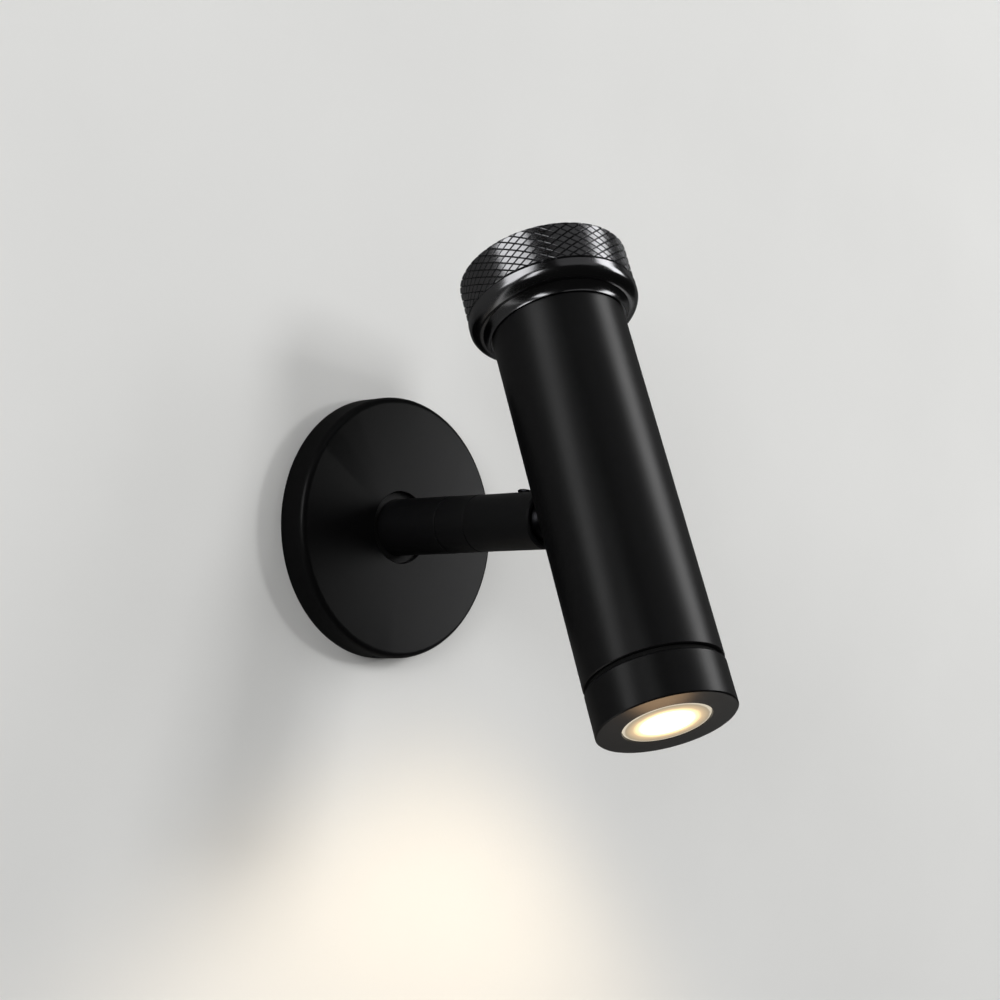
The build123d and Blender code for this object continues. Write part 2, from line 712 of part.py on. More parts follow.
step_height = front_end + bezel_spigot_length
with BuildPart() as heat_sink:
    rod(along_head(board_back), bezel_bore_radius - fit_gap, step_height - board_back)
    rod(along_head(step_height), tube_bore_radius - fit_gap, board_back + sink_length - step_height)
    with BuildSketch(along_head(board_back + sink_disc_thickness)) as gaps:
        with PolarLocations(sink_core_radius + tube_bore_radius / 2, sink_fin_count):
            Rectangle(tube_bore_radius, 2 * (led_lead_radius + sink_fin_clearance))
    extrude(gaps.sketch, amount=sink_length, mode=Mode.SUBTRACT)
    for side in (-1, 1):
        wire_way = shifted(along_head(board_back), 0, side * wire_offset)
        rod(wire_way, led_lead_radius + sink_wire_gap, sink_disc_thickness, mode=Mode.SUBTRACT)
        screw_way = shifted(along_head(board_back), side * board_screw_offset, 0)
        rod(screw_way, board_screw_radius, board_screw_length, mode=Mode.SUBTRACT)
    slot_floor = board_back + sink_length - driver_slot_depth
    driver_middle = driver_thickness / 2 - driver_setback
    driver_way = shifted(along_head(slot_floor), 0, driver_middle)
    block(driver_way, tube_diameter, driver_thickness, driver_slot_depth, mode=Mode.SUBTRACT)
save(heat_sink, "heat_sink")

with BuildPart() as led_board_screws:
    for side in (-1, 1):
        head_plane = shifted(along_head(optic_back - board_screw_head_height), side * board_screw_offset, 0)
        rod(head_plane, board_screw_head_radius, board_screw_head_height)
        shank = shifted(along_head(optic_back), side * board_screw_offset, 0)
        rod(shank, board_screw_radius, board_screw_length - fit_gap)
        block(head_plane, 2 * board_screw_head_radius, screw_drive_width / 2, screw_drive_width / 2,
              mode=Mode.SUBTRACT)
save(led_board_screws, "led_board_screws")

# ================================================================ driver
component_floor = slot_floor + driver_slot_depth
capacitor_start = component_floor + component_margin
coil_start = capacitor_start + capacitor_length + component_space
driver_chip_start = coil_start + coil_side + component_space
board_top = driver_chip_start + driver_chip_side + driver_pad_length
driver_half_width = sqrt((tube_bore_radius - fit_gap) ** 2 - driver_setback ** 2)
with BuildPart() as driver_board:
    driver_place = shifted(along_head(slot_floor), 0, driver_middle)
    block(driver_place, 2 * driver_half_width, driver_thickness, board_top - slot_floor)
save(driver_board, "driver_board")

front_of_board = -driver_setback
with BuildPart() as driver_capacitors:
    for column in (-1, 1):
        can = shifted(
            along_head(capacitor_start),
            column * capacitor_pitch / 2,
            front_of_board - capacitor_radius,
        )
        rod(can, capacitor_radius, capacitor_length)
save(driver_capacitors, "driver_capacitors")

with BuildPart() as driver_coil:
    coil_place = shifted(along_head(coil_start), 0, front_of_board - coil_height / 2)
    block(coil_place, coil_side, coil_height, coil_side)
save(driver_coil, "driver_coil")

with BuildPart() as driver_chips:
    for column in (-1, 1):
        chip_place = shifted(
            along_head(driver_chip_start),
            column * driver_chip_pitch / 2,
            front_of_board - driver_chip_height / 2,
        )
        block(chip_place, driver_chip_side, driver_chip_height, driver_chip_side)
save(driver_chips, "driver_chips")

with BuildPart() as head_lead:
    lead_reach = ball_radius - head_lead_recess
    lead_start = neck_plane.offset(-lead_reach)
    rod(lead_start, head_lead_radius, lead_reach + ball_to_head_axis + driver_setback - driver_thickness)
save(head_lead, "head_lead")

with BuildPart() as led_leads:
    turn_height = component_floor + led_lead_rise
    for side in (-1, 1):
        board_side = -driver_setback if side < 0 else driver_thickness - driver_setback
        start = neck_foot + head_up * board_back + head_back * (side * wire_offset)
        corner = neck_foot + head_up * turn_height + head_back * (side * wire_offset)
        finish = neck_foot + head_up * turn_height + head_back * board_side
        with BuildLine() as route:
            FilletPolyline(start, corner, finish, radius=led_lead_bend)
        with BuildSketch(Plane(origin=start, x_dir=ACROSS, z_dir=head_up)) as section:
            Circle(led_lead_radius)
        sweep(section.sketch, path=route.line)
save(led_leads, "led_leads")

# ================================================================ collar, dimmer and knob
collar_top = tube_above_neck + collar_height
floor_base = tube_above_neck
floor_top = floor_base + collar_floor
collar_seam_radius = tube_radius + collar_seam_step
collar_land_radius = knob_radius + collar_land_step
collar_well_radius = collar_land_radius - collar_land_width
roll_end_radius = collar_land_radius - collar_roll_radius
roll_end = collar_top - collar_land_height - collar_roll_radius
with BuildPart() as rear_collar:
    with BuildSketch(head_outline) as collar_half:
        with BuildLine():
            Polyline(
                (floor_base, collar_seam_radius),
                (floor_base, tube_bore_radius - fit_gap),
                (floor_base - collar_spigot_length, tube_bore_radius - fit_gap),
                (floor_base - collar_spigot_length, tube_bore_radius - fit_gap - collar_spigot_wall),
                (floor_base, tube_bore_radius - fit_gap - collar_spigot_wall),
                (floor_base, dimmer_bush_radius + fit_gap),
                (floor_top, dimmer_bush_radius + fit_gap),
                (floor_top, collar_well_radius),
                (collar_top, collar_well_radius),
                (collar_top, collar_land_radius),
                (collar_top - collar_land_height, collar_land_radius),
            )
            # convex roll under the land, then a hollow cove down to the seam with the tube
            roll = RadiusArc(
                (collar_top - collar_land_height, collar_land_radius),
                (roll_end, roll_end_radius),
                collar_roll_radius,
            )
            cove = ThreePointArc(
                roll @ 1,
                ((roll_end + floor_base) / 2, (roll_end_radius + collar_seam_radius) / 2 - collar_cove_depth),
                (floor_base, collar_seam_radius),
            )
        make_face()
    revolve(collar_half.sketch, axis=Axis(neck_foot, head_up))
save(rear_collar, "rear_collar")

with BuildPart() as dimmer_body:
    rod(along_head(floor_base - dimmer_height), dimmer_radius, dimmer_height)
    rod(along_head(floor_base), dimmer_bush_radius, dimmer_bush_height)
    rod(along_head(floor_base - dimmer_height / 2), shaft_radius + running_gap,
        dimmer_height / 2 + dimmer_bush_height, mode=Mode.SUBTRACT)
save(dimmer_body, "dimmer_body")

with BuildPart() as dimmer_pins:
    pin_row = shifted(along_head(floor_base - dimmer_height), 0, -driver_setback - dimmer_pin_radius)
    with BuildSketch(pin_row) as pins:
        with GridLocations(dimmer_pin_pitch, 0, dimmer_pin_count, 1):
            Circle(dimmer_pin_radius)
    extrude(pins.sketch, amount=-dimmer_pin_length)
save(dimmer_pins, "dimmer_pins")

with BuildPart() as dimmer_leads:
    lead_row = pin_row.offset(-dimmer_pin_length)
    with BuildSketch(lead_row) as lead_discs:
        with GridLocations(dimmer_pin_pitch, 0, dimmer_pin_count, 1):
            Circle(dimmer_pin_radius)
    lead_drop = floor_base - dimmer_height - dimmer_pin_length - board_top + dimmer_lead_overlap
    extrude(lead_discs.sketch, amount=-lead_drop)
save(dimmer_leads, "dimmer_leads")

with BuildPart() as dimmer_nut:
    hexagon(along_head(floor_top), dimmer_nut_flats, dimmer_nut_thickness)
    rod(along_head(floor_top), dimmer_bush_radius, dimmer_nut_thickness, mode=Mode.SUBTRACT)
save(dimmer_nut, "dimmer_nut")

shaft_base = floor_base - dimmer_height / 2 + running_gap
knob_base = collar_top + knob_gap
knob_top = collar_top + knob_height
cavity_top = knob_top - knob_top_thickness
boss_base = cavity_top - knob_boss_length
shaft_length = cavity_top - shaft_end_gap - shaft_base
with BuildPart() as dimmer_shaft:
    rod(along_head(shaft_base), shaft_radius, shaft_length)
    flat_place = shifted(along_head(boss_base), 0, 2 * shaft_radius - shaft_flat_depth)
    block(flat_place, 3 * shaft_radius, 2 * shaft_radius, shaft_length, mode=Mode.SUBTRACT)
save(dimmer_shaft, "dimmer_shaft")

grub_height = boss_base + knob_boss_length / 2
with BuildPart() as knob:
    with BuildSketch(head_outline) as knob_half:
        with BuildLine():
            Polyline(
                (cavity_top, 0),
                (cavity_top, knob_boss_radius),
                (boss_base, knob_boss_radius),
                (boss_base, 0),
                close=True,
            )
        make_face()
        with BuildLine():
            Polyline(
                (knob_top, 0),
                (cavity_top, 0),
                (cavity_top, knob_radius - knob_wall),
                (knob_base, knob_radius - knob_wall),
                (knob_base, knob_radius - knob_skirt_chamfer),
                (knob_base + knob_skirt_chamfer, knob_radius),
                (knob_top, knob_radius),
                close=True,
            )
        make_face()
    revolve(knob_half.sketch, axis=Axis(neck_foot, head_up))
    rim = knob.edges().filter_by(GeomType.CIRCLE).sort_by(SortBy.RADIUS)[-2:]
    top_edge = rim.sort_by(lambda e: -(e.center() - neck_foot).dot(head_up))[0]
    fillet(top_edge, knob_top_radius)
    # D-shaped bore for the shaft
    with BuildSketch(along_head(boss_base)) as bore:
        Circle(shaft_radius + shaft_fit)
        with Locations((0, 2 * shaft_radius - shaft_flat_depth + shaft_fit)):
            Rectangle(3 * shaft_radius, 2 * shaft_radius, mode=Mode.SUBTRACT)
    extrude(bore.sketch, amount=knob_boss_length - shaft_end_gap + shaft_fit, mode=Mode.SUBTRACT)
    grub_way = Plane(origin=neck_foot + head_up * grub_height, x_dir=ACROSS, z_dir=head_back)
    rod(grub_way, grub_radius + fit_gap, knob_radius * 2, mode=Mode.SUBTRACT)
save(knob, "knob")

with BuildPart() as knob_grub_screw:
    grub_seat = grub_way.offset(shaft_radius - shaft_flat_depth)
    grub_screw_length = knob_boss_radius - shaft_radius + shaft_flat_depth + knob_grub_overrun
    rod(grub_seat, grub_radius, grub_screw_length)
    hexagon(grub_seat.offset(grub_screw_length - grub_socket_depth), grub_socket_flats, grub_socket_depth,
            mode=Mode.SUBTRACT)
save(knob_grub_screw, "knob_grub_screw")
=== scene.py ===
"""Pivoting spotlight wall light, dressed for the studio.

Metres, in the frame of the solids: the wall is the plane y = 0, the room lies on -Y, +Z is up.
Each class below is one sub-assembly of the light or of the studio round it.
"""

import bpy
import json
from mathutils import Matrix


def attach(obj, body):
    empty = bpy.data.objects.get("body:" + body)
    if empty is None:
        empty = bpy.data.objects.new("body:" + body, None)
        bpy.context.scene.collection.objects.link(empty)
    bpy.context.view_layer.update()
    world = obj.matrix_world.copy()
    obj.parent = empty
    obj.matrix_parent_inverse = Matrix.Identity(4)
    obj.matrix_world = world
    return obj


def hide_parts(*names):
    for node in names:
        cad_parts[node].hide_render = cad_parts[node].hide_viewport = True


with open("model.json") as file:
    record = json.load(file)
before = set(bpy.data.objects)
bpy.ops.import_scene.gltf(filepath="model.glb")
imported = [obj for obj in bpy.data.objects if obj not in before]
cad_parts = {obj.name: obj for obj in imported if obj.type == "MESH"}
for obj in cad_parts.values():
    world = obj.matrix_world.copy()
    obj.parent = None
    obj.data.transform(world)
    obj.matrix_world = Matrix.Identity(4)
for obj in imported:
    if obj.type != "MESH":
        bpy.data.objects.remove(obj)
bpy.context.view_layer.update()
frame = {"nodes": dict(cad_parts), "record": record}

import json
import logging
import math
from collections.abc import Mapping, Sequence
from dataclasses import dataclass
from enum import Enum
from functools import partial

import bmesh
import bpy
from mathutils import Matrix, Vector

LOG = logging.getLogger("wall_spotlight")

Point = tuple[float, float]
Place = tuple[float, float, float]
Colour = tuple[float, float, float]
Node = bpy.types.Node
Socket = bpy.types.NodeSocket
Tree = bpy.types.NodeTree
Material = bpy.types.Material
Mesh = bpy.types.Mesh
Shape = bmesh.types.BMesh
Vertex = bmesh.types.BMVert
Inputs = Mapping[str | int, Socket | float | Sequence[float]]
Outputs = Mapping[str, Socket]

MM = 0.001
SOLID_CREASE = 25.0     # degrees, above which a solid's edge stays crisp
WHITE: Colour = (1.0, 1.0, 1.0)
ORIGIN = Vector((0.0, 0.0, 0.0))
RIGHT = Vector((1.0, 0.0, 0.0))


class Body(Enum):
    """The parts of the light that move on their own."""

    WALL = "root"
    ARM = "arm"
    HEAD = "head"
    KNOB = "knob"


# -------------------- axes of the light
@dataclass(frozen=True)
class TurningAxis:
    """An axis that round pieces are turned about.

    Attributes:
        origin: a point on the axis, in metres.
        along: the axis direction, from which heights are counted.
    """

    origin: Vector
    along: Vector

    def matrix(self) -> Matrix:
        """Lay z along the axis and angle zero on the right.

        Returns:
            The matrix from axis coordinates to the room.
        """
        rows = Matrix((RIGHT, self.along.cross(RIGHT), self.along)).transposed().to_4x4()
        rows.translation = self.origin
        return rows


TILT = math.radians(25.4)
NECK_REACH = 24.4       # millimetres from the ball's centre to the head's axis
HEAD_UP = Vector((0.0, math.sin(TILT), math.cos(TILT)))
HEAD_BACK = Vector((0.0, math.cos(TILT), -math.sin(TILT)))
BALL_CENTRE = Vector((0.0, -67.0, 0.0)) * MM
NECK_FOOT = BALL_CENTRE - HEAD_BACK * NECK_REACH * MM

ARM_AXIS = TurningAxis(ORIGIN, Vector((0.0, -1.0, 0.0)))
HEAD_AXIS = TurningAxis(NECK_FOOT, HEAD_UP)


# -------------------- shader helpers
def feed(tree: Tree, node: Node, values: Inputs) -> Node:
    """Link or set inputs of a node.

    Args:
        tree: the tree that the node is in.
        node: the node.
        values: a socket or a fixed value for each input, by its name or number.

    Returns:
        The node.
    """
    for name, value in values.items():
        if isinstance(value, Socket):
            tree.links.new(value, node.inputs[name])
        else:
            node.inputs[name].default_value = value
    return node


def add(tree: Tree, kind: str, values: Inputs | None = None) -> Node:
    """Add a node of a kind to a tree, feed its inputs and return it."""
    return feed(tree, tree.nodes.new(kind), values or {})


def new_group(name: str, inputs: Mapping[str, float], outputs: Sequence[str]
              ) -> tuple[Tree, Outputs, Node]:
    """Make an empty shader node group that reads a vector, with its two end nodes.

    Args:
        name: the group's name.
        inputs: start value of each other input.
        outputs: name of each output, all of them plain values.

    Returns:
        The group, the sockets that it is given and its output node.
    """
    tree = bpy.data.node_groups.new(name, "ShaderNodeTree")
    tree.interface.new_socket("Vector", in_out="INPUT", socket_type="NodeSocketVector")
    for label, value in inputs.items():
        socket = tree.interface.new_socket(label, in_out="INPUT", socket_type="NodeSocketFloat")
        socket.default_value = value
    for label in outputs:
        tree.interface.new_socket(label, in_out="OUTPUT", socket_type="NodeSocketFloat")
    return tree, tree.nodes.new("NodeGroupInput").outputs, tree.nodes.new("NodeGroupOutput")


def noise(tree: Tree, vector: Socket, scale: Socket | float, detail: float = 2.0) -> Socket:
    """Add a noise texture that reads the vector, and return its values."""
    return add(tree, "ShaderNodeTexNoise",
               {"Vector": vector, "Scale": scale, "Detail": detail}).outputs["Fac"]


def ramp(tree: Tree, factor: Socket, stops: Sequence[tuple[float, Colour]]) -> Socket:
    """Add a colour ramp.

    Args:
        tree: the tree to add it to.
        factor: what the ramp reads.
        stops: the place and the colour of each stop.

    Returns:
        The colour.
    """
    node = add(tree, "ShaderNodeValToRGB", {"Fac": factor})
    elements = node.color_ramp.elements
    while len(elements) < len(stops):
        elements.new(0.5)
    for element, (place, colour) in zip(elements, stops):
        element.position = place
        element.color = (*colour, 1.0)
    return node.outputs["Color"]


def maths(tree: Tree, operation: str, *values: Socket | float) -> Socket:
    """Add a maths node.

    Args:
        tree: the tree to add it to.
        operation: what it does.
        values: the sockets or numbers that it works on.

    Returns:
        The result.
    """
    node = tree.nodes.new("ShaderNodeMath")
    node.operation = operation
    return feed(tree, node, dict(enumerate(values))).outputs["Value"]


def round_coordinates(tree: Tree, vector: Socket) -> tuple[Socket, Socket]:
    """Split coordinates into the distance from z and the height along it.

    Args:
        tree: the tree to work in.
        vector: the coordinates.

    Returns:
        The distance and the height.
    """
    split = add(tree, "ShaderNodeSeparateXYZ", {"Vector": vector}).outputs
    squares = [maths(tree, "MULTIPLY", split[axis], split[axis]) for axis in "XY"]
    return maths(tree, "SQRT", maths(tree, "ADD", *squares)), split["Z"]


class Grains:
    """The shader groups that more than one finish uses.

    Attributes:
        coat: the fine orange-peel grain of a sprayed or moulded surface.
        lathe: the fine rings that a lathe tool leaves.
        handling: broad, faint patches where a surface was wiped or touched.
    """

    def __init__(self) -> None:
        """Build each group once."""
        self.coat = self._coat_grain()
        self.lathe = self._lathe_lines()
        self.handling = self._handling_marks()

    @staticmethod
    def _coat_grain() -> Tree:
        """Make the grain, a fine noise on a broad one.

        Returns:
            The group.
        """
        tree, given, end = new_group(
            "sprayed_grain", {"Fine Scale": 2600.0, "Peel Scale": 420.0, "Peel Share": 0.35},
            ["Mask", "Height"])
        fine = noise(tree, given["Vector"], given["Fine Scale"], 3.0)
        peel = noise(tree, given["Vector"], given["Peel Scale"], 1.0)
        soft = maths(tree, "MULTIPLY", peel, given["Peel Share"])
        feed(tree, end, {"Height": maths(tree, "ADD", fine, soft), "Mask": peel})
        return tree

    @staticmethod
    def _lathe_lines() -> Tree:
        """Make the rings, which run on faces and on round sides alike.

        Returns:
            The group.
        """
        tree, given, end = new_group("lathe_lines", {"Line Scale": 5200.0}, ["Mask", "Height"])
        radius, height = round_coordinates(tree, given["Vector"])
        joined = add(tree, "ShaderNodeCombineXYZ", {"X": radius, "Y": height})
        lines = noise(tree, joined.outputs["Vector"], given["Line Scale"])
        feed(tree, end, {"Height": lines, "Mask": lines})
        return tree

    @staticmethod
    def _handling_marks() -> Tree:
        """Make the patches.

        Returns:
            The group.
        """
        tree, given, end = new_group("handling_marks", {"Patch Scale": 55.0}, ["Mask"])
        patch = noise(tree, given["Vector"], given["Patch Scale"], 3.0)
        feed(tree, end, {"Mask": ramp(tree, patch, [(0.35, (0.0, 0.0, 0.0)), (0.7, WHITE)])})
        return tree


def place_group(tree: Tree, group: Tree, vector: Socket, **values: float) -> Outputs:
    """Place a shader group in a material.

    Args:
        tree: the material's tree.
        group: the shared group.
        vector: the coordinates that the group reads.
        values: input values, with underscores for the spaces in their names.

    Returns:
        What the group puts out.
    """
    node = tree.nodes.new("ShaderNodeGroup")
    node.node_tree = group
    named = {name.replace("_", " ").title(): value for name, value in values.items()}
    return feed(tree, node, {"Vector": vector, **named}).outputs


def spread(tree: Tree, factor: Socket, low: float, high: float) -> Socket:
    """Map a factor from 0..1 to low..high, and return the value."""
    return add(tree, "ShaderNodeMapRange",
               {"Value": factor, "To Min": low, "To Max": high}).outputs["Result"]


def bumped(tree: Tree, height: Socket, distance: float, strength: float) -> Socket:
    """Return a normal that follows a height."""
    return add(tree, "ShaderNodeBump",
               {"Height": height, "Distance": distance, "Strength": strength}).outputs["Normal"]


def axis_vector(tree: Tree, axis: TurningAxis | None) -> Socket:
    """Add object coordinates, turned so that z runs along an axis.

    Args:
        tree: the tree to add them to.
        axis: the axis, or None to leave them unturned.

    Returns:
        The coordinates.
    """
    place = tree.nodes.new("ShaderNodeTexCoord").outputs["Object"]
    if axis is None:
        return place
    back = axis.matrix().inverted()
    mapping = add(tree, "ShaderNodeMapping",
                  {"Vector": place, "Location": back.translation, "Rotation": back.to_euler("XYZ")})
    mapping.vector_type = "POINT"
    return mapping.outputs["Vector"]


def tint_between(tree: Tree, factor: Socket, colour: Colour, low: float, high: float) -> Socket:
    """Return a colour that wanders between two shares of itself, by a factor."""
    return ramp(tree, factor, [(place, (colour[0] * share, colour[1] * share, colour[2] * share))
                               for place, share in ((0.0, low), (1.0, high))])


# -------------------- finishes
@dataclass(frozen=True)
class Finish:
    """A finish with its colour and gloss; each kind below adds its own surface.

    Attributes:
        name: the material's name.
        colour: its colour.
        roughness: its roughness.
        grains: the shared shader groups.
        axis: the axis that its marks run round, if there is one.
    """

    name: str
    colour: Colour
    roughness: float
    grains: Grains
    axis: TurningAxis | None = None

    def start(self) -> tuple[Material, Tree, Node, Socket]:
        """Make the plain material.

        Returns:
            The material, its tree, its Principled shader and the coordinates for its marks.
        """
        material = bpy.data.materials.new(self.name)
        material.use_nodes = True
        tree = material.node_tree
        shader = feed(tree, tree.nodes["Principled BSDF"],
                      {"Base Color": (*self.colour, 1.0), "Roughness": self.roughness})
        return material, tree, shader, axis_vector(tree, self.axis)

    def tinted(self, tree: Tree, mask: Socket, low: float, high: float) -> Socket:
        """Return the finish's colour, wandering between two shares of itself."""
        return tint_between(tree, mask, self.colour, low, high)

    def glossed(self, tree: Tree, mask: Socket, less: float, more: float) -> Socket:
        """Return the finish's roughness, from a little less to a little more."""
        return spread(tree, mask, self.roughness - less, self.roughness + more)

    def make(self) -> Material:
        """Return the finished material."""
        raise NotImplementedError


@dataclass(frozen=True)
class PowderCoat(Finish):
    """Satin powder coat: black, with a fine grain that softens its highlights.

    Attributes:
        specular: how strongly it mirrors.
        grain_depth: depth of the grain, in metres.
    """

    specular: float = 0.45
    grain_depth: float = 0.00001

    def make(self) -> Material:
        """Make the coat.

        Returns:
            The material.
        """
        material, tree, shader, vector = self.start()
        grain = place_group(tree, self.grains.coat, vector)
        marks = place_group(tree, self.grains.handling, vector)
        feed(tree, shader, {
            "Base Color": self.tinted(tree, grain["Mask"], 0.8, 1.25),
            "Roughness": self.glossed(tree, marks["Mask"], 0.015, 0.015),
            "Specular IOR Level": self.specular,
            "Normal": bumped(tree, grain["Height"], self.grain_depth, 0.35),
        })
        return material


@dataclass(frozen=True)
class PolishedPlate(Finish):
    """Polished black nickel over turned metal.

    Attributes:
        line_depth: depth of the lathe's lines, in metres.
    """

    line_depth: float = 0.0000012

    def make(self) -> Material:
        """Make the plate.

        Returns:
            The material.
        """
        material, tree, shader, vector = self.start()
        lines = place_group(tree, self.grains.lathe, vector)
        marks = place_group(tree, self.grains.handling, vector, patch_scale=90.0)
        feed(tree, shader, {
            "Metallic": 1.0,
            "Base Color": self.tinted(tree, marks["Mask"], 1.0, 0.86),
            "Roughness": self.glossed(tree, marks["Mask"], 0.0, 0.05),
            "Normal": bumped(tree, lines["Height"], self.line_depth, 0.5),
        })
        return material


@dataclass(frozen=True)
class TurnedMetal(Finish):
    """Bare, plated or blackened metal with the lathe's lines left on it.

    Attributes:
        line_scale: how many lines there are to a metre.
        line_depth: their depth, in metres.
    """

    line_scale: float = 3800.0
    line_depth: float = 0.000004

    def make(self) -> Material:
        """Make the metal.

        Returns:
            The material.
        """
        material, tree, shader, vector = self.start()
        lines = place_group(tree, self.grains.lathe, vector, line_scale=self.line_scale)
        marks = place_group(tree, self.grains.handling, vector, patch_scale=160.0)
        feed(tree, shader, {
            "Metallic": 1.0,
            "Base Color": self.tinted(tree, marks["Mask"], 1.0, 0.75),
            "Roughness": self.glossed(tree, lines["Mask"], 0.08, 0.08),
            "Normal": bumped(tree, lines["Height"], self.line_depth, 0.6),
        })
        return material


@dataclass(frozen=True)
class Moulding(Finish):
    """Moulded plastic, rubber or board lacquer with a fine even grain.

    Attributes:
        grain_depth: depth of the grain, in metres.
        fine_scale: how many grains there are to a metre.
    """

    grain_depth: float = 0.00002
    fine_scale: float = 1800.0

    def make(self) -> Material:
        """Make the moulding.

        Returns:
            The material.
        """
        material, tree, shader, vector = self.start()
        grain = place_group(tree, self.grains.coat, vector, fine_scale=self.fine_scale)
        feed(tree, shader, {
            "Base Color": self.tinted(tree, grain["Mask"], 0.85, 1.12),
            "Roughness": self.glossed(tree, grain["Mask"], 0.06, 0.06),
            "Normal": bumped(tree, grain["Height"], self.grain_depth, 0.4),
        })
        return material


@dataclass(frozen=True)
class LitLens(Finish):
    """Frosted lens over the lit optic: a white-hot middle, a warm hazy ring and a pale rim.

    Attributes:
        lens_radius: the radius of the lens in its opening, in metres.
        glow: how bright the middle is.
        glow_stops: the light's colour from the middle to the rim, as shares of the radius.
    """

    lens_radius: float = 12.25 * MM
    glow: float = 2.2
    glow_stops: tuple[tuple[float, Colour], ...] = (
        (0.0, (1.0, 0.98, 0.92)),
        (0.53, (1.0, 0.95, 0.82)),
        (0.65, (0.74, 0.55, 0.28)),
        (0.78, (0.29, 0.21, 0.12)),
        (0.93, (0.15, 0.118, 0.075)),
        (0.975, (0.29, 0.26, 0.205)),
    )

    def make(self) -> Material:
        """Make the lens.

        Returns:
            The material.
        """
        material, tree, shader, vector = self.start()
        radius, _ = round_coordinates(tree, vector)
        share = maths(tree, "DIVIDE", radius, self.lens_radius)
        flecks = place_group(tree, self.grains.coat, vector, fine_scale=900.0)
        wander = maths(tree, "MULTIPLY_ADD", flecks["Mask"], 0.03, -0.015)
        feed(tree, shader, {
            "Emission Color": ramp(tree, maths(tree, "ADD", share, wander), self.glow_stops),
            "Emission Strength": self.glow,
            "Normal": bumped(tree, flecks["Height"], 0.00001, 0.3),
        })
        return material


@dataclass(frozen=True)
class ClearMoulding(Finish):
    """Clear optic moulding.

    Attributes:
        index: its refractive index.
    """

    index: float = 1.49

    def make(self) -> Material:
        """Make the clear moulding.

        Returns:
            The material.
        """
        material, tree, shader, vector = self.start()
        grain = place_group(tree, self.grains.coat, vector, fine_scale=700.0)
        feed(tree, shader, {
            "Transmission Weight": 1.0,
            "IOR": self.index,
            "Roughness": self.glossed(tree, grain["Mask"], 0.0, 0.04),
        })
        return material


class FinishSet:
    """Every finish of the light, one material each.

    Attributes:
        by_slot: the finish of each slot in the record.
        head_coat: the black coat, with its marks laid along the head.
        plate: the polished plate.
        knurl: the same plate on the knurl.
    """

    def __init__(self) -> None:
        """Make the materials."""
        grains = Grains()
        black = (0.0042, 0.0042, 0.0046)
        nickel = (0.30, 0.30, 0.31)
        self.head_coat = PowderCoat("satin_black_coat_head", black, 0.34, grains, HEAD_AXIS).make()
        self.knurl = PolishedPlate("black_nickel_knurled", nickel, 0.20, grains, HEAD_AXIS,
                                   0.000002).make()
        finishes: dict[str, Finish] = {
            "satin_black_coat": PowderCoat("satin_black_coat", black, 0.36, grains, ARM_AXIS),
            "black_chrome": PolishedPlate("black_nickel", nickel, 0.17, grains, HEAD_AXIS),
            "zinc_plate": TurnedMetal("zinc_plate", (0.60, 0.61, 0.63), 0.36, grains),
            "black_steel": TurnedMetal("black_oxide_steel", (0.045, 0.045, 0.05), 0.34, grains,
                                       line_scale=2400.0),
            "brass": TurnedMetal("turned_brass", (0.72, 0.53, 0.26), 0.30, grains, ARM_AXIS),
            "black_nylon": Moulding("black_nylon", (0.012, 0.012, 0.012), 0.55, grains),
            "white_nylon": Moulding("white_nylon", (0.76, 0.76, 0.74), 0.50, grains),
            "black_rubber": Moulding("black_rubber", (0.006, 0.006, 0.006), 0.75, grains,
                                     fine_scale=1200.0),
            "lens_glass": LitLens("lit_lens", (0.26, 0.24, 0.21), 0.30, grains, HEAD_AXIS),
            "optic_acrylic": ClearMoulding("optic_acrylic", (0.97, 0.97, 0.97), 0.03, grains),
            "bare_aluminium": TurnedMetal("turned_aluminium", (0.74, 0.75, 0.76), 0.32, grains,
                                          HEAD_AXIS),
            "led_phosphor": Moulding("led_phosphor", (0.92, 0.74, 0.22), 0.40, grains),
            "white_board": Moulding("white_board_lacquer", (0.86, 0.86, 0.84), 0.30, grains),
            "green_board": Moulding("green_board_lacquer", (0.03, 0.20, 0.09), 0.28, grains),
            "dark_component": Moulding("component_epoxy", (0.035, 0.035, 0.04), 0.45, grains),
            "lead_sheath": Moulding("lead_sheath", (0.62, 0.61, 0.57), 0.50, grains),
        }
        self.by_slot = {slot: finish.make() for slot, finish in finishes.items()}
        self.plate = self.by_slot["black_chrome"]


# -------------------- piece helpers
def stand(thing: bpy.types.Object) -> None:
    """Put an object in the scene."""
    bpy.context.scene.collection.objects.link(thing)


def settle(mesh: Mesh, name: str, body: Body, slot: str, *nodes: str) -> bpy.types.Object:
    """Make a piece of a finished mesh, put it on its body and hide the nodes that it stands for.

    Args:
        mesh: the mesh, in the room's frame.
        name: the piece's name.
        body: the body it moves with.
        slot: the record's material slot; not used.
        nodes: the nodes that it stands for.

    Returns:
        The piece.
    """
    piece = bpy.data.objects.new(name, mesh)
    stand(piece)
    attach(piece, body.value)
    if nodes:
        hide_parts(*nodes)
    LOG.info("%s on %s, %d faces", name, body.value, len(mesh.polygons))
    return piece


def smooth_by_angle(shaped: Shape, degrees: float) -> None:
    """Shade a shape smooth.

    Args:
        shaped: the shape.
        degrees: the angle above which an edge stays crisp.
    """
    shaped.normal_update()
    for face in shaped.faces:
        face.smooth = True
    for edge in shaped.edges:
        edge.smooth = len(edge.link_faces) == 2 and edge.calc_face_angle(0.0) < math.radians(degrees)


def round_place(radius: float, angle: float, height: float) -> Place:
    """Return metres for an angle about z and a radius and a height in millimetres."""
    return (radius * MM * math.cos(angle), radius * MM * math.sin(angle), height * MM)


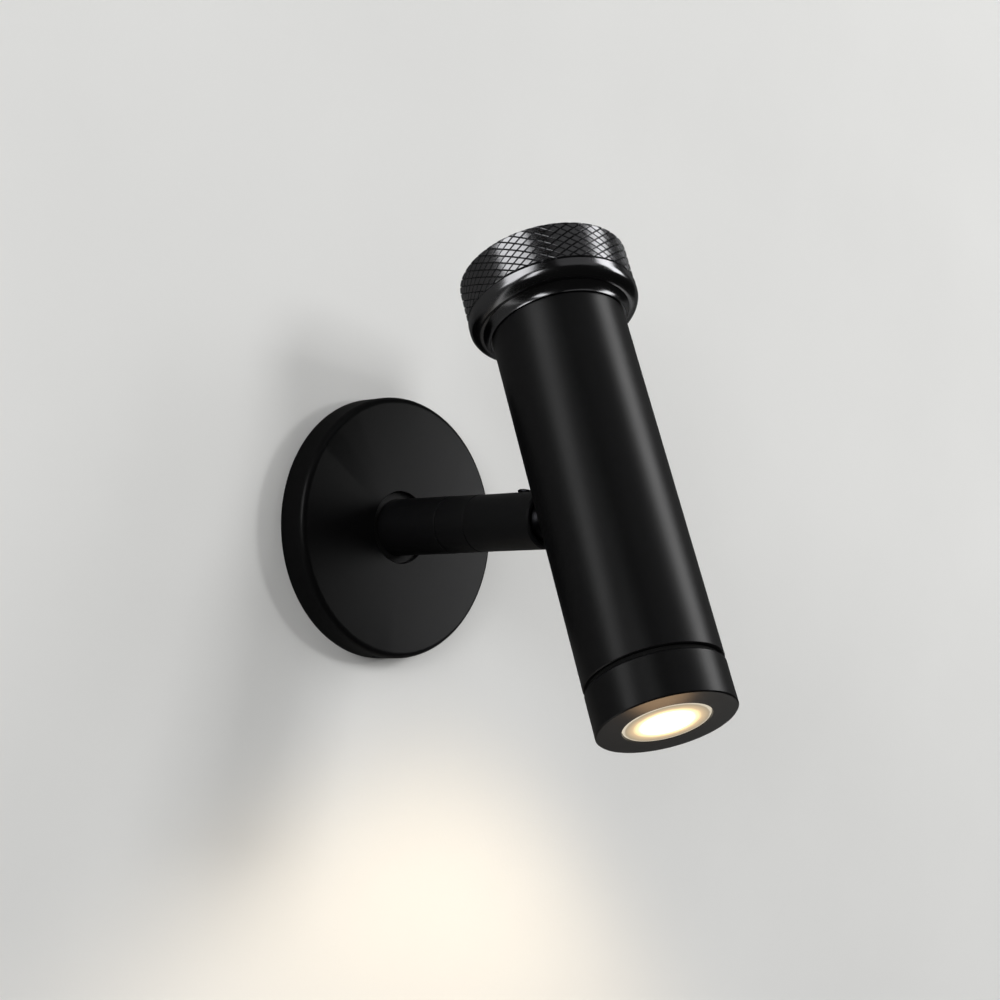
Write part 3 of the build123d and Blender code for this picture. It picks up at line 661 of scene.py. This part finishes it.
def add_ring(shaped: Shape, radius: float, height: float, steps: int) -> list[Vertex]:
    """Add a ring of vertices about z to a shape, sized in millimetres, and return them."""
    return [shaped.verts.new(round_place(radius, math.tau * step / steps, height))
            for step in range(steps)]


def join_rings(shaped: Shape, first: Sequence[Vertex], second: Sequence[Vertex]) -> None:
    """Join two rings of vertices by faces."""
    for step, after in enumerate([*range(1, len(first)), 0]):
        shaped.faces.new((first[step], first[after], second[after], second[step]))


def finished_mesh(shaped: Shape, name: str, material: Material, degrees: float) -> Mesh:
    """Turn a shape that was made about z into a mesh about the head's axis.

    Args:
        shaped: the shape, which is used up.
        name: the mesh's name.
        material: its finish.
        degrees: the angle above which an edge stays crisp.

    Returns:
        The mesh in the room's frame.
    """
    bmesh.ops.recalc_face_normals(shaped, faces=shaped.faces)
    bmesh.ops.transform(shaped, matrix=HEAD_AXIS.matrix(), verts=shaped.verts)
    smooth_by_angle(shaped, degrees)
    mesh = bpy.data.meshes.new(name)
    shaped.to_mesh(mesh)
    shaped.free()
    mesh.materials.append(material)
    return mesh


def refined_copy(node: str, material: Material) -> Mesh:
    """Copy a solid's mesh, join its loose triangles and shade it smooth.

    Args:
        node: the solid's node.
        material: the finish.

    Returns:
        The mesh.
    """
    mesh = frame["nodes"][node].data.copy()
    shaped = bmesh.new()
    shaped.from_mesh(mesh)
    bmesh.ops.remove_doubles(shaped, verts=shaped.verts, dist=1e-6)
    smooth_by_angle(shaped, SOLID_CREASE)
    shaped.to_mesh(mesh)
    shaped.free()
    mesh.materials.clear()
    mesh.materials.append(material)
    for layer in [a for a in mesh.attributes if a.name == "custom_normal"]:
        mesh.attributes.remove(layer)
    return mesh


# -------------------- wall mount, arm and head
@dataclass
class SmoothedPieces:
    """A sub-assembly whose solids keep their shape; those that show most get a smooth copy.

    Attributes:
        body: the body that it moves with.
        pieces: node and slot of each piece that shows.
    """

    body: Body
    pieces: tuple[tuple[str, str], ...]

    def build(self, finishes: FinishSet) -> None:
        """Build the smooth copies and put them on their body.

        Args:
            finishes: the light's finishes.
        """
        for node, slot in self.pieces:
            on_head = self.body is Body.HEAD and slot == "satin_black_coat"
            material = finishes.head_coat if on_head else finishes.by_slot[slot]
            settle(refined_copy(node, material), f"{node}_finished", self.body, slot, node)


WALL_MOUNT = SmoothedPieces(Body.WALL, (
    ("rose", "satin_black_coat"), ("arm_base", "satin_black_coat")))
TURNING_ARM = SmoothedPieces(Body.ARM, (
    ("swivel_ring", "satin_black_coat"), ("arm_tube", "satin_black_coat"),
    ("arm_set_screw", "black_steel")))
TILTING_HEAD = SmoothedPieces(Body.HEAD, (
    ("head_tube", "satin_black_coat"), ("front_bezel", "satin_black_coat"),
    ("ball_stud", "black_steel"), ("lens", "lens_glass")))


def coat_solids(finishes: FinishSet) -> None:
    """Give every solid its slot's finish.

    Args:
        finishes: the light's finishes.
    """
    slots = {part["node"]: part["material_slot"] for part in frame["record"]["subparts"]}
    for node, piece in frame["nodes"].items():
        if not piece.material_slots:
            piece.data.materials.append(finishes.by_slot[slots[node]])
        for place in piece.material_slots:
            place.material = finishes.by_slot[slots[node]]


# -------------------- the knurled knob
@dataclass
class KnurledKnob:
    """The dimmer knob: a drum with a diamond knurl cut by two crossing families of grooves.

    Attributes:
        radius: outer radius of the drum, in millimetres, as the others.
        base: height of its lower edge over the neck.
        top: height of its flat top.
        around: how many diamonds go round the drum.
        pitch: height of a diamond, from crossing to crossing.
        groove_depth: depth of the grooves.
        groove_share: half the groove's width as a share of the diamond.
        groove_lip: how far the groove's edge lies below the diamond's flat top.
        bevel_share: where the diamond's flat top begins.
        edge_radius: rounding of the top edge.
        edge_shares: where the rounding is cut, as shares of its radius.
        base_bevel: bevel of the lower edge.
        skirt_radius: inner radius of the drum.
        ceiling: height of the drum's inside over the neck.
        boss_radius: outer radius of the boss that the shaft goes into.
        boss_base: height of the boss's lower end.
        bore_radius: radius of its bore.
        bore_rest: how far the bore's end lies below the ceiling.
        inner_steps: how many sides the inside has.
        weld: how near the studs' edges are when they are joined.
        crease: the angle above which an edge stays crisp, in degrees.
    """

    radius: float = 25.2
    base: float = 59.4
    top: float = 71.6
    around: int = 40
    pitch: float = 2.45
    groove_depth: float = 0.45
    groove_share: float = 0.84
    groove_lip: float = 0.05
    bevel_share: float = 0.75
    edge_radius: float = 0.8
    edge_shares: tuple[float, ...] = (1.0, 0.62, 0.3, 0.1)
    base_bevel: float = 0.3
    skirt_radius: float = 21.8
    ceiling: float = 69.0
    boss_radius: float = 7.0
    boss_base: float = 62.0
    bore_radius: float = 3.02
    bore_rest: float = 1.0
    inner_steps: int = 128
    weld: float = 0.01
    crease: float = 18.0

    def _stud(self) -> Mesh:
        """Make one diamond stud of the knurl, bent round the drum at angle zero.

        Returns:
            The stud's mesh.
        """
        half_turn = math.pi / self.around
        half_height = self.pitch / 2
        rings = [
            (1.0, self.radius - self.groove_depth),
            (self.groove_share, self.radius - self.groove_lip),
            (self.bevel_share, self.radius),
        ]
        corners = [(1, 0), (0.5, 0.5), (0, 1), (-0.5, 0.5), (-1, 0), (-0.5, -0.5), (0, -1), (0.5, -0.5)]
        shaped = bmesh.new()
        loops = [
            [shaped.verts.new(round_place(radius, across * share * half_turn, up * share * half_height))
             for across, up in corners]
            for share, radius in rings]
        middle = shaped.verts.new(round_place(self.radius, 0.0, 0.0))
        for outer, inner in zip(loops, loops[1:]):
            join_rings(shaped, outer, inner)
        for step, corner in enumerate(loops[-1]):
            shaped.faces.new((corner, loops[-1][(step + 1) % len(corners)], middle))
        mesh = bpy.data.meshes.new("knurl_stud")
        shaped.to_mesh(mesh)
        shaped.free()
        return mesh

    def _knurl_tree(self) -> Tree:
        """Make the node tree that repeats the stud round the drum, row on row.

        Returns:
            The tree.
        """
        tree = bpy.data.node_groups.new("knurled_band", "GeometryNodeTree")
        for label, kind, way in (
            ("Stud", "NodeSocketGeometry", "INPUT"), ("Around", "NodeSocketInt", "INPUT"),
            ("Rows", "NodeSocketInt", "INPUT"), ("Row Rise", "NodeSocketFloat", "INPUT"),
            ("First Row", "NodeSocketFloat", "INPUT"), ("Band", "NodeSocketGeometry", "OUTPUT"),
        ):
            tree.interface.new_socket(label, in_out=way, socket_type=kind)
        given = tree.nodes.new("NodeGroupInput").outputs
        end = tree.nodes.new("NodeGroupOutput")
        calc = partial(maths, tree)
        index = add(tree, "GeometryNodeInputIndex").outputs["Index"]
        row = calc("FLOOR", calc("DIVIDE", calc("ADD", index, 0.5), given["Around"]))
        place = calc("SUBTRACT", index, calc("MULTIPLY", row, given["Around"]))
        shifted = calc("ADD", place, calc("MULTIPLY", calc("MODULO", row, 2.0), 0.5))
        angle = calc("MULTIPLY", calc("DIVIDE", shifted, given["Around"]), math.tau)
        height = calc("ADD", calc("MULTIPLY", row, given["Row Rise"]), given["First Row"])
        points = add(tree, "GeometryNodePoints", {
            "Count": calc("MULTIPLY", given["Around"], given["Rows"]),
            "Position": add(tree, "ShaderNodeCombineXYZ", {"Z": height}).outputs["Vector"]})
        copies = add(tree, "GeometryNodeInstanceOnPoints", {
            "Points": points.outputs["Points"], "Instance": given["Stud"],
            "Rotation": add(tree, "ShaderNodeCombineXYZ", {"Z": angle}).outputs["Vector"]})
        real = add(tree, "GeometryNodeRealizeInstances", {"Geometry": copies.outputs["Instances"]})
        joined = add(tree, "GeometryNodeMergeByDistance",
                     {"Geometry": real.outputs["Geometry"], "Distance": self.weld * MM})
        feed(tree, end, {"Band": joined.outputs["Geometry"]})
        return tree

    def _band(self) -> Mesh:
        """Make the knurled band, about z, before it is cut to length.

        Returns:
            The band's mesh.
        """
        holder = bpy.data.objects.new("knurl_holder", self._stud())
        stand(holder)
        tree = self._knurl_tree()
        values = {
            "Around": self.around,
            "Rows": 2 * math.ceil((self.top - self.base) / self.pitch) + 3,
            "Row Rise": self.pitch / 2 * MM,
            "First Row": (self.base - self.pitch / 2) * MM,
        }
        modifier = holder.modifiers.new("knurl", "NODES")
        modifier.node_group = tree
        for socket in tree.interface.items_tree:
            if socket.item_type == "SOCKET" and socket.in_out == "INPUT" and socket.name in values:
                modifier[socket.identifier] = values[socket.name]
        graph = bpy.context.evaluated_depsgraph_get()
        mesh = bpy.data.meshes.new_from_object(holder.evaluated_get(graph))
        bpy.data.objects.remove(holder)
        return mesh

    def _rounding(self, height: float) -> float:
        """Work out how far the drum draws in at its edges.

        Args:
            height: the height over the neck, in millimetres.

        Returns:
            The distance drawn in, in millimetres.
        """
        from_top = height - (self.top - self.edge_radius)
        if from_top > 0:
            return self.edge_radius - math.sqrt(max(self.edge_radius ** 2 - from_top ** 2, 0.0))
        return max(self.base_bevel - (height - self.base), 0.0)

    def build(self, finishes: FinishSet) -> None:
        """Build the knob and put it on its body.

        Args:
            finishes: the light's finishes.
        """
        shaped = bmesh.new()
        shaped.from_mesh(self._band())

        def cut(height: float, way: int, drop: bool) -> None:
            """Cut the band at a height, and drop what lies beyond if asked."""
            bmesh.ops.bisect_plane(
                shaped, geom=[*shaped.verts, *shaped.edges, *shaped.faces], dist=1e-7,
                plane_co=(0, 0, height * MM), plane_no=(0, 0, way), clear_outer=drop)

        cut(self.base + self.base_bevel, 1, False)
        for share in self.edge_shares:
            cut(self.top - self.edge_radius * share, 1, False)
        cut(self.base, -1, True)
        cut(self.top, 1, True)
        for vertex in shaped.verts:
            drawn_in = self._rounding(vertex.co.z / MM) * MM
            flat = vertex.co.xy
            vertex.co.xy = flat * (1 - drawn_in / flat.length)
        self._close(shaped)
        mesh = finished_mesh(shaped, "knurled_knob", finishes.knurl, self.crease)
        settle(mesh, "knurled_knob", Body.KNOB, "black_chrome", "knob")

    def _close(self, shaped: Shape) -> None:
        """Close the band with the knob's top, skirt, inside and boss.

        Args:
            shaped: the band, cut to length.
        """
        edges = [edge for edge in shaped.edges if edge.is_boundary]
        top = [e for e in edges if all(abs(v.co.z - self.top * MM) < 1e-6 for v in e.verts)]
        skirt = [e for e in edges if all(abs(v.co.z - self.base * MM) < 1e-6 for v in e.verts)]
        bmesh.ops.triangle_fill(shaped, edges=top, use_beauty=True, use_dissolve=False)
        walls = [add_ring(shaped, radius, height, self.inner_steps) for radius, height in (
            (self.skirt_radius, self.base),
            (self.skirt_radius, self.ceiling),
            (self.boss_radius, self.ceiling),
            (self.boss_radius, self.boss_base),
            (self.bore_radius, self.boss_base),
            (self.bore_radius, self.ceiling - self.bore_rest),
        )]
        rim = walls[0]
        inner = [shaped.edges.new(ends) for ends in zip(rim, rim[1:] + rim[:1])]
        bmesh.ops.triangle_fill(shaped, edges=[*skirt, *inner], use_beauty=True, use_dissolve=False)
        for first, second in zip(walls, walls[1:]):
            join_rings(shaped, first, second)
        shaped.faces.new(walls[-1])


# -------------------- the collar
@dataclass
class Collar:
    """The polished collar under the knob: a land, a convex roll and a hollow cove down to the tube.

    Attributes:
        seam: height of the seam with the tube over the neck, in millimetres, as the others.
        top: height of the collar's top.
        seam_radius: outer radius at the seam.
        land_radius: outer radius of the land.
        land_height: height of the land.
        roll_radius: radius of the roll below the land.
        roll_steps: how many steps the roll has.
        cove_depth: how deep the cove hollows between the roll and the seam.
        cove_steps: how many steps the cove has.
        well_radius: radius of the well that the dimmer stands in.
        floor: thickness of the well's floor.
        spigot_radius: outer radius of the spigot in the tube.
        spigot_wall: thickness of the spigot.
        spigot_length: length of the spigot.
        bush_radius: radius of the hole for the dimmer's bush.
        edge_break: how far the top edge is broken.
        steps: how many sides the collar has.
        crease: the angle above which an edge stays crisp, in degrees.
    """

    seam: float = 51.0
    top: float = 59.0
    seam_radius: float = 20.3
    land_radius: float = 25.35
    land_height: float = 1.9
    roll_radius: float = 3.4
    roll_steps: int = 20
    cove_depth: float = 0.35
    cove_steps: int = 16
    well_radius: float = 19.0
    floor: float = 3.0
    spigot_radius: float = 14.9
    spigot_wall: float = 1.5
    spigot_length: float = 5.0
    bush_radius: float = 4.1
    edge_break: float = 0.15
    steps: int = 256
    crease: float = 28.0

    def _outline(self) -> list[Point]:
        """Lay out the collar's section.

        Returns:
            (height, radius) points in millimetres, in order round the section.
        """
        roll = []
        for step in range(self.roll_steps + 1):
            angle = math.radians(90.0 + 90.0 * step / self.roll_steps)
            roll.append((self.top - self.land_height + self.roll_radius * math.cos(angle),
                         self.land_radius - self.roll_radius + self.roll_radius * math.sin(angle)))
        roll_foot, roll_end = roll[-1]
        cove = []
        for step in range(1, self.cove_steps + 1):
            way = step / self.cove_steps
            straight = roll_end + (self.seam_radius - roll_end) * way
            cove.append((roll_foot + (self.seam - roll_foot) * way,
                         straight - 4 * self.cove_depth * way * (1 - way)))
        inner = self.spigot_radius - self.spigot_wall
        return [
            (self.top - self.edge_break, self.land_radius), *roll, *cove,
            (self.seam, self.spigot_radius), (self.seam - self.spigot_length, self.spigot_radius),
            (self.seam - self.spigot_length, inner), (self.seam, inner),
            (self.seam, self.bush_radius), (self.seam + self.floor, self.bush_radius),
            (self.seam + self.floor, self.well_radius), (self.top, self.well_radius),
            (self.top, self.land_radius - self.edge_break),
        ]

    def build(self, finishes: FinishSet) -> None:
        """Turn the collar and put it on the head.

        Args:
            finishes: the light's finishes.
        """
        shaped = bmesh.new()
        rings = [add_ring(shaped, radius, height, self.steps) for height, radius in self._outline()]
        for first, second in zip(rings, rings[1:] + rings[:1]):
            join_rings(shaped, first, second)
        mesh = finished_mesh(shaped, "polished_collar", finishes.plate, self.crease)
        settle(mesh, "polished_collar", Body.HEAD, "black_chrome", "rear_collar")


# -------------------- studio
def aim(lamp: bpy.types.Object, way: Vector) -> None:
    """Turn a lamp so that it shines a way."""
    lamp.rotation_mode = "QUATERNION"
    lamp.rotation_quaternion = way.to_track_quat("-Z", "Y")


def light_only(lamp: bpy.types.Object, lit: Sequence[str]) -> bpy.types.Collection:
    """Let a lamp light only some of the objects.

    Args:
        lamp: the lamp.
        lit: the names of the objects.

    Returns:
        The collection of the objects.
    """
    group = bpy.data.collections.new(f"{lamp.name}_lights")
    for name in lit:
        group.objects.link(bpy.data.objects[name])
    lamp.light_linking.receiver_collection = group
    return group


@dataclass
class Softbox:
    """A soft area lamp that points at a place.

    Attributes:
        name: the lamp's name.
        place: where it stands, in metres.
        target: what it points at.
        size: its width and height.
        glow: its radiance, where 1 is white.
        colour: its colour.
        in_reflections: whether polished pieces show it.
    """

    name: str
    place: Vector
    target: Vector
    size: Point
    glow: float
    colour: Colour = WHITE
    in_reflections: bool = True

    def build(self) -> bpy.types.Object:
        """Make the lamp.

        Returns:
            The lamp.
        """
        data = bpy.data.lights.new(self.name, "AREA")
        data.shape = "RECTANGLE"
        data.size, data.size_y = self.size
        data.energy = self.glow * 4.0 * self.size[0] * self.size[1]
        data.color = self.colour
        lamp = bpy.data.objects.new(self.name, data)
        lamp.location = self.place
        aim(lamp, self.target - self.place)
        lamp.visible_glossy = self.in_reflections
        lamp.visible_camera = False
        stand(lamp)
        return lamp


@dataclass
class StudioWall:
    """The pale wall, seen from the room's side only.

    Attributes:
        half: half its width and height, in metres.
        gap: how far it stands behind the rose.
        colour: its paint.
        flag_foot: the height where the wall that gloss sees starts to darken.
        flag_top: the height from which it is dark.
        flagged: how dark it gets there.
    """

    half: float = 2.5
    gap: float = 0.0002
    colour: Colour = (0.80, 0.80, 0.785)
    flag_foot: float = -0.40
    flag_top: float = -0.22
    flagged: float = 0.92

    def build(self) -> None:
        """Build the wall and stand it in the scene."""
        mesh = bpy.data.meshes.new("studio_wall")
        h = self.half
        mesh.from_pydata([(-h, 0, -h), (h, 0, -h), (h, 0, h), (-h, 0, h)], [], [(0, 1, 2, 3)])
        mesh.materials.append(self._paint())
        wall = bpy.data.objects.new("studio_wall", mesh)
        wall.location.y = self.gap
        stand(wall)

    def _paint(self) -> Material:
        """Make the wall's paint.

        Returns:
            The material.
        """
        material = bpy.data.materials.new("painted_wall")
        material.use_nodes = True
        tree = material.node_tree
        vector = axis_vector(tree, None)
        shader = feed(tree, tree.nodes["Principled BSDF"], {
            "Base Color": tint_between(tree, noise(tree, vector, 9.0, 3.0), self.colour, 0.95, 1.04),
            "Roughness": 0.9,
            "Specular IOR Level": 0.1,
            "Normal": bumped(tree, noise(tree, vector, 900.0), 0.0001, 0.2),
        })
        # gloss sees a dark studio in place of the lit wall, so the black pieces stay black
        dark = add(tree, "ShaderNodeBsdfDiffuse", {"Color": (0.02, 0.02, 0.02, 1.0)})
        height = add(tree, "ShaderNodeSeparateXYZ", {"Vector": vector})
        above = add(tree, "ShaderNodeMapRange", {
            "Value": height.outputs["Z"], "From Min": self.flag_foot, "From Max": self.flag_top,
            "To Max": self.flagged})
        path = tree.nodes.new("ShaderNodeLightPath")
        mirrored = add(tree, "ShaderNodeMixShader", {
            "Fac": maths(tree, "MULTIPLY", path.outputs["Is Glossy Ray"], above.outputs["Result"]),
            1: shader.outputs["BSDF"], 2: dark.outputs["BSDF"]})
        facing = tree.nodes.new("ShaderNodeNewGeometry")
        clear = tree.nodes.new("ShaderNodeBsdfTransparent")
        one_sided = add(tree, "ShaderNodeMixShader", {
            "Fac": facing.outputs["Backfacing"],
            1: mirrored.outputs["Shader"], 2: clear.outputs["BSDF"]})
        feed(tree, tree.nodes["Material Output"], {"Surface": one_sided.outputs["Shader"]})
        return material


@dataclass
class StudioAir:
    """The even light of the room, pale where the camera sees it.

    Attributes:
        colour: its colour.
        strength: how strongly it lights the pieces.
        seen: how bright the camera sees it.
        gloss_loss: what gloss loses of it in the room; only behind the wall does it see all of it.
    """

    colour: Colour = (1.0, 0.995, 0.98)
    strength: float = 0.160
    seen: float = 0.62
    gloss_loss: float = 0.152

    def build(self) -> None:
        """Make the air."""
        world = bpy.data.worlds.new("studio_air")
        bpy.context.scene.world = world
        world.use_nodes = True
        tree = world.node_tree
        path = tree.nodes.new("ShaderNodeLightPath").outputs
        place = tree.nodes.new("ShaderNodeTexCoord").outputs["Generated"]
        way = add(tree, "ShaderNodeSeparateXYZ", {"Vector": place})
        in_room = maths(tree, "LESS_THAN", way.outputs["Y"], 0.0)
        dimmed = maths(tree, "MULTIPLY", maths(tree, "MULTIPLY", path["Is Glossy Ray"], in_room),
                       self.gloss_loss)
        level = spread(tree, path["Is Camera Ray"], self.strength, self.seen)
        feed(tree, tree.nodes["Background"], {
            "Color": (*self.colour, 1.0), "Strength": maths(tree, "SUBTRACT", level, dimmed)})


@dataclass
class PhotoCamera:
    """The camera, where the photograph was taken from.

    Attributes:
        place: where it stands, in metres.
        forward: the way it looks.
        right: the picture's right, squared up to the way it looks.
        focal_pixels: its focal length, in pixels of the picture.
        picture_width: the picture's width, in pixels.
        sensor_width: the sensor's width, in millimetres.
        clip: the nearest and the farthest that it sees, in metres.
    """

    place: Place = (-0.4439, -0.4865, -0.0997)
    forward: Place = (0.7032, 0.6908, 0.1686)
    right: Place = (0.6847, -0.7217, 0.1016)
    focal_pixels: float = 2151.86
    picture_width: float = 1000.0
    sensor_width: float = 36.0
    clip: Point = (0.01, 20.0)

    def build(self) -> None:
        """Place the camera."""
        data = bpy.data.cameras.new("photo_camera")
        data.sensor_width = self.sensor_width
        data.lens = self.sensor_width * self.focal_pixels / self.picture_width
        data.clip_start, data.clip_end = self.clip
        camera = bpy.data.objects.new("photo_camera", data)
        forward = Vector(self.forward).normalized()
        right = Vector(self.right)
        right = (right - forward * right.dot(forward)).normalized()
        turn = Matrix((right, right.cross(forward), -forward)).transposed().to_4x4()
        turn.translation = Vector(self.place)
        camera.matrix_world = turn
        stand(camera)
        bpy.context.scene.camera = camera


@dataclass
class RoomLamps:
    """The soft lights round the room.

    Attributes:
        middle: what most of them point at, in metres.
        distance: how far the softboxes stand from it.
        fill_distance: how far the front fill stands from it.
    """

    middle: Place = (0.0, -0.09, 0.0)
    distance: float = 2.2
    fill_distance: float = 2.0

    def build(self) -> None:
        """Set up the lamps."""
        middle = Vector(self.middle)
        for name, way, size, glow, colour in (
            ("right_softbox", (0.621, -0.485, 0.616), (0.80, 1.6), 2.4, WHITE),
            ("left_softbox", (-0.880, -0.125, 0.458), (0.60, 2.1), 1.8, (0.96, 0.965, 1.0)),
            ("left_card", (-0.915, -0.376, 0.139), (0.50, 1.2), 1.9, WHITE),
            ("upper_panel", (-0.100, -0.622, 0.776), (1.90, 1.2), 0.10, WHITE),
        ):
            Softbox(name, middle + Vector(way) * self.distance, middle, size, glow, colour).build()
        fill_way = Vector((0.34, -0.93, 0.42)).normalized()
        Softbox("front_fill", middle + fill_way * self.fill_distance, middle, (0.50, 0.50), 11.0,
                in_reflections=False).build()
        Softbox("left_wash", Vector((-1.05, -0.80, 0.12)), Vector((-0.22, 0.0, 0.04)), (0.60, 0.60), 1.9,
                in_reflections=False).build()


class LinkedLamps:
    """Lamps that light only some of the pieces, set up when the pieces are there."""

    def build(self) -> None:
        """Set up the lamps."""
        self._rose_card()
        self._back_lamp()
        self._spare_the_rose()
        self._head_cards()
        self._rose_key()

    def _rose_card(self) -> None:
        """Show the rose a card on the right, so that its black face pales from left to right."""
        card = Softbox("rose_card", Vector((0.28, -0.19, 0.05)), ORIGIN, (0.14, 0.22), 1.0).build()
        light_only(card, ("rose_finished",))

    def _back_lamp(self) -> None:
        """Light what the rose covers, for a look at the light from behind."""
        lamp = Softbox("back_lamp", Vector((0.25, 0.60, 0.35)), ORIGIN, (0.50, 0.50), 2.0).build()
        lamp.light_linking.blocker_collection = light_only(lamp, (
            "wall_bracket", "terminal_block", "rose_bush", "lock_washer", "base_nut", "base_nipple",
            "earth_screw"))

    def _spare_the_rose(self) -> None:
        """Keep the right softbox off the rose, whose face stays black on the left."""
        for link in light_only(bpy.data.objects["right_softbox"], ("rose_finished",)).collection_objects:
            link.light_linking.link_state = "EXCLUDE"

    def _head_cards(self) -> None:
        """Stand two cards near the wall on the left, for the highlights of the head's left side."""
        for name, place, way, size, glow, lit in (
            ("knob_card", (-0.177, -0.041, 0.155), (0.54, -0.70, -0.42), (0.115, 0.17), 1.8,
             ("knurled_knob", "polished_collar")),
            ("tube_card", (-0.200, -0.045, 0.120), (0.20, -0.045, -0.09), (0.07, 0.40), 1.0,
             ("head_tube_finished", "front_bezel_finished")),
        ):
            stood = Vector(place)
            light_only(Softbox(name, stood, stood + Vector(way), size, glow).build(), lit)
        light_only(bpy.data.objects["left_softbox"], (
            "studio_wall", "arm_base_finished", "swivel_ring_finished", "arm_tube_finished",
            "arm_set_screw_finished"))

    def _rose_key(self) -> None:
        """Cast the rose's narrow shadow on the wall at its left."""
        lamp = Softbox("rose_key", Vector((1.05, -1.05, 0.34)), ORIGIN, (0.16, 0.16), 40.0,
                       in_reflections=False).build()
        light_only(lamp, ("studio_wall",))
        blocker = bpy.data.collections.new("rose_key_blocker")
        blocker.objects.link(bpy.data.objects["rose_finished"])
        lamp.light_linking.blocker_collection = blocker


@dataclass
class HeadGlow:
    """What the lit head throws: a warm pool of light on the wall and a haze on its bezel.

    Attributes:
        pool_energy: power of the pool's lamp.
        pool_colour: its colour.
        pool_place: where it rides, with the head at rest, in metres.
        pool_way: the way it shines.
        pool_cone: width of its cone, in degrees.
        pool_blend: how soft the cone's edge is.
        pool_source: radius of its source, in metres.
        pool_smooth: smoothing that keeps a wall close to the head from burning out.
        haze_energy: power of the haze's lamp.
        haze_colour: its colour.
        haze_drop: how far it lies below the neck along the head, in millimetres.
        haze_source: radius of its source, in metres.
    """

    pool_energy: float = 1.95
    pool_colour: Colour = (1.0, 0.80, 0.53)
    pool_place: Place = (0.040, -0.100, 0.022)
    pool_way: Place = (0.0, 0.05, -1.0)
    pool_cone: float = 98.0
    pool_blend: float = 0.6
    pool_source: float = 0.02
    pool_smooth: float = 0.02
    haze_energy: float = 0.013
    haze_colour: Colour = (1.0, 0.62, 0.32)
    haze_drop: float = 89.0
    haze_source: float = 0.012

    def build(self) -> None:
        """Make both lamps."""
        pool = bpy.data.objects.new("light_pool", self._pool_data())
        pool.location = self.pool_place
        aim(pool, Vector(self.pool_way))
        self._ride(pool, "studio_wall")
        data = bpy.data.lights.new("lens_haze", "POINT")
        data.energy = self.haze_energy
        data.color = self.haze_colour
        data.shadow_soft_size = self.haze_source
        haze = bpy.data.objects.new("lens_haze", data)
        haze.location = NECK_FOOT - HEAD_UP * self.haze_drop * MM
        self._ride(haze, "front_bezel_finished")

    def _pool_data(self) -> bpy.types.Light:
        """Make the light of the pool.

        Returns:
            The light.
        """
        data = bpy.data.lights.new("light_pool", "SPOT")
        data.energy = self.pool_energy
        data.color = self.pool_colour
        data.use_nodes = True
        tree = data.node_tree
        falloff = add(tree, "ShaderNodeLightFalloff", {"Strength": 1.0, "Smooth": self.pool_smooth})
        feed(tree, tree.nodes["Emission"], {"Strength": falloff.outputs["Quadratic"]})
        data.spot_size = math.radians(self.pool_cone)
        data.spot_blend = self.pool_blend
        data.shadow_soft_size = self.pool_source
        return data

    @staticmethod
    def _ride(lamp: bpy.types.Object, lit: str) -> None:
        """Put a lamp on the head, and let it light only one object.

        Args:
            lamp: the lamp.
            lit: the object's name.
        """
        stand(lamp)
        lamp.visible_glossy = lamp.data.type == "POINT"
        lamp.visible_camera = False
        lamp.light_linking.blocker_collection = light_only(lamp, (lit,))
        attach(lamp, Body.HEAD.value)


def main() -> None:
    """Build the light and its studio, in order."""
    logging.basicConfig(level=logging.INFO, format="%(name)s: %(message)s")
    for surround in (PhotoCamera(), StudioWall(), StudioAir(), RoomLamps()):
        surround.build()
    bpy.context.scene.view_settings.view_transform = "Standard"
    LOG.info("studio ready")
    finishes = FinishSet()
    for assembly in (WALL_MOUNT, TURNING_ARM, TILTING_HEAD, KnurledKnob(), Collar()):
        assembly.build(finishes)
    coat_solids(finishes)
    LinkedLamps().build()
    HeadGlow().build()
    LOG.info("sizes written")


if __name__ == "__main__":
    main()
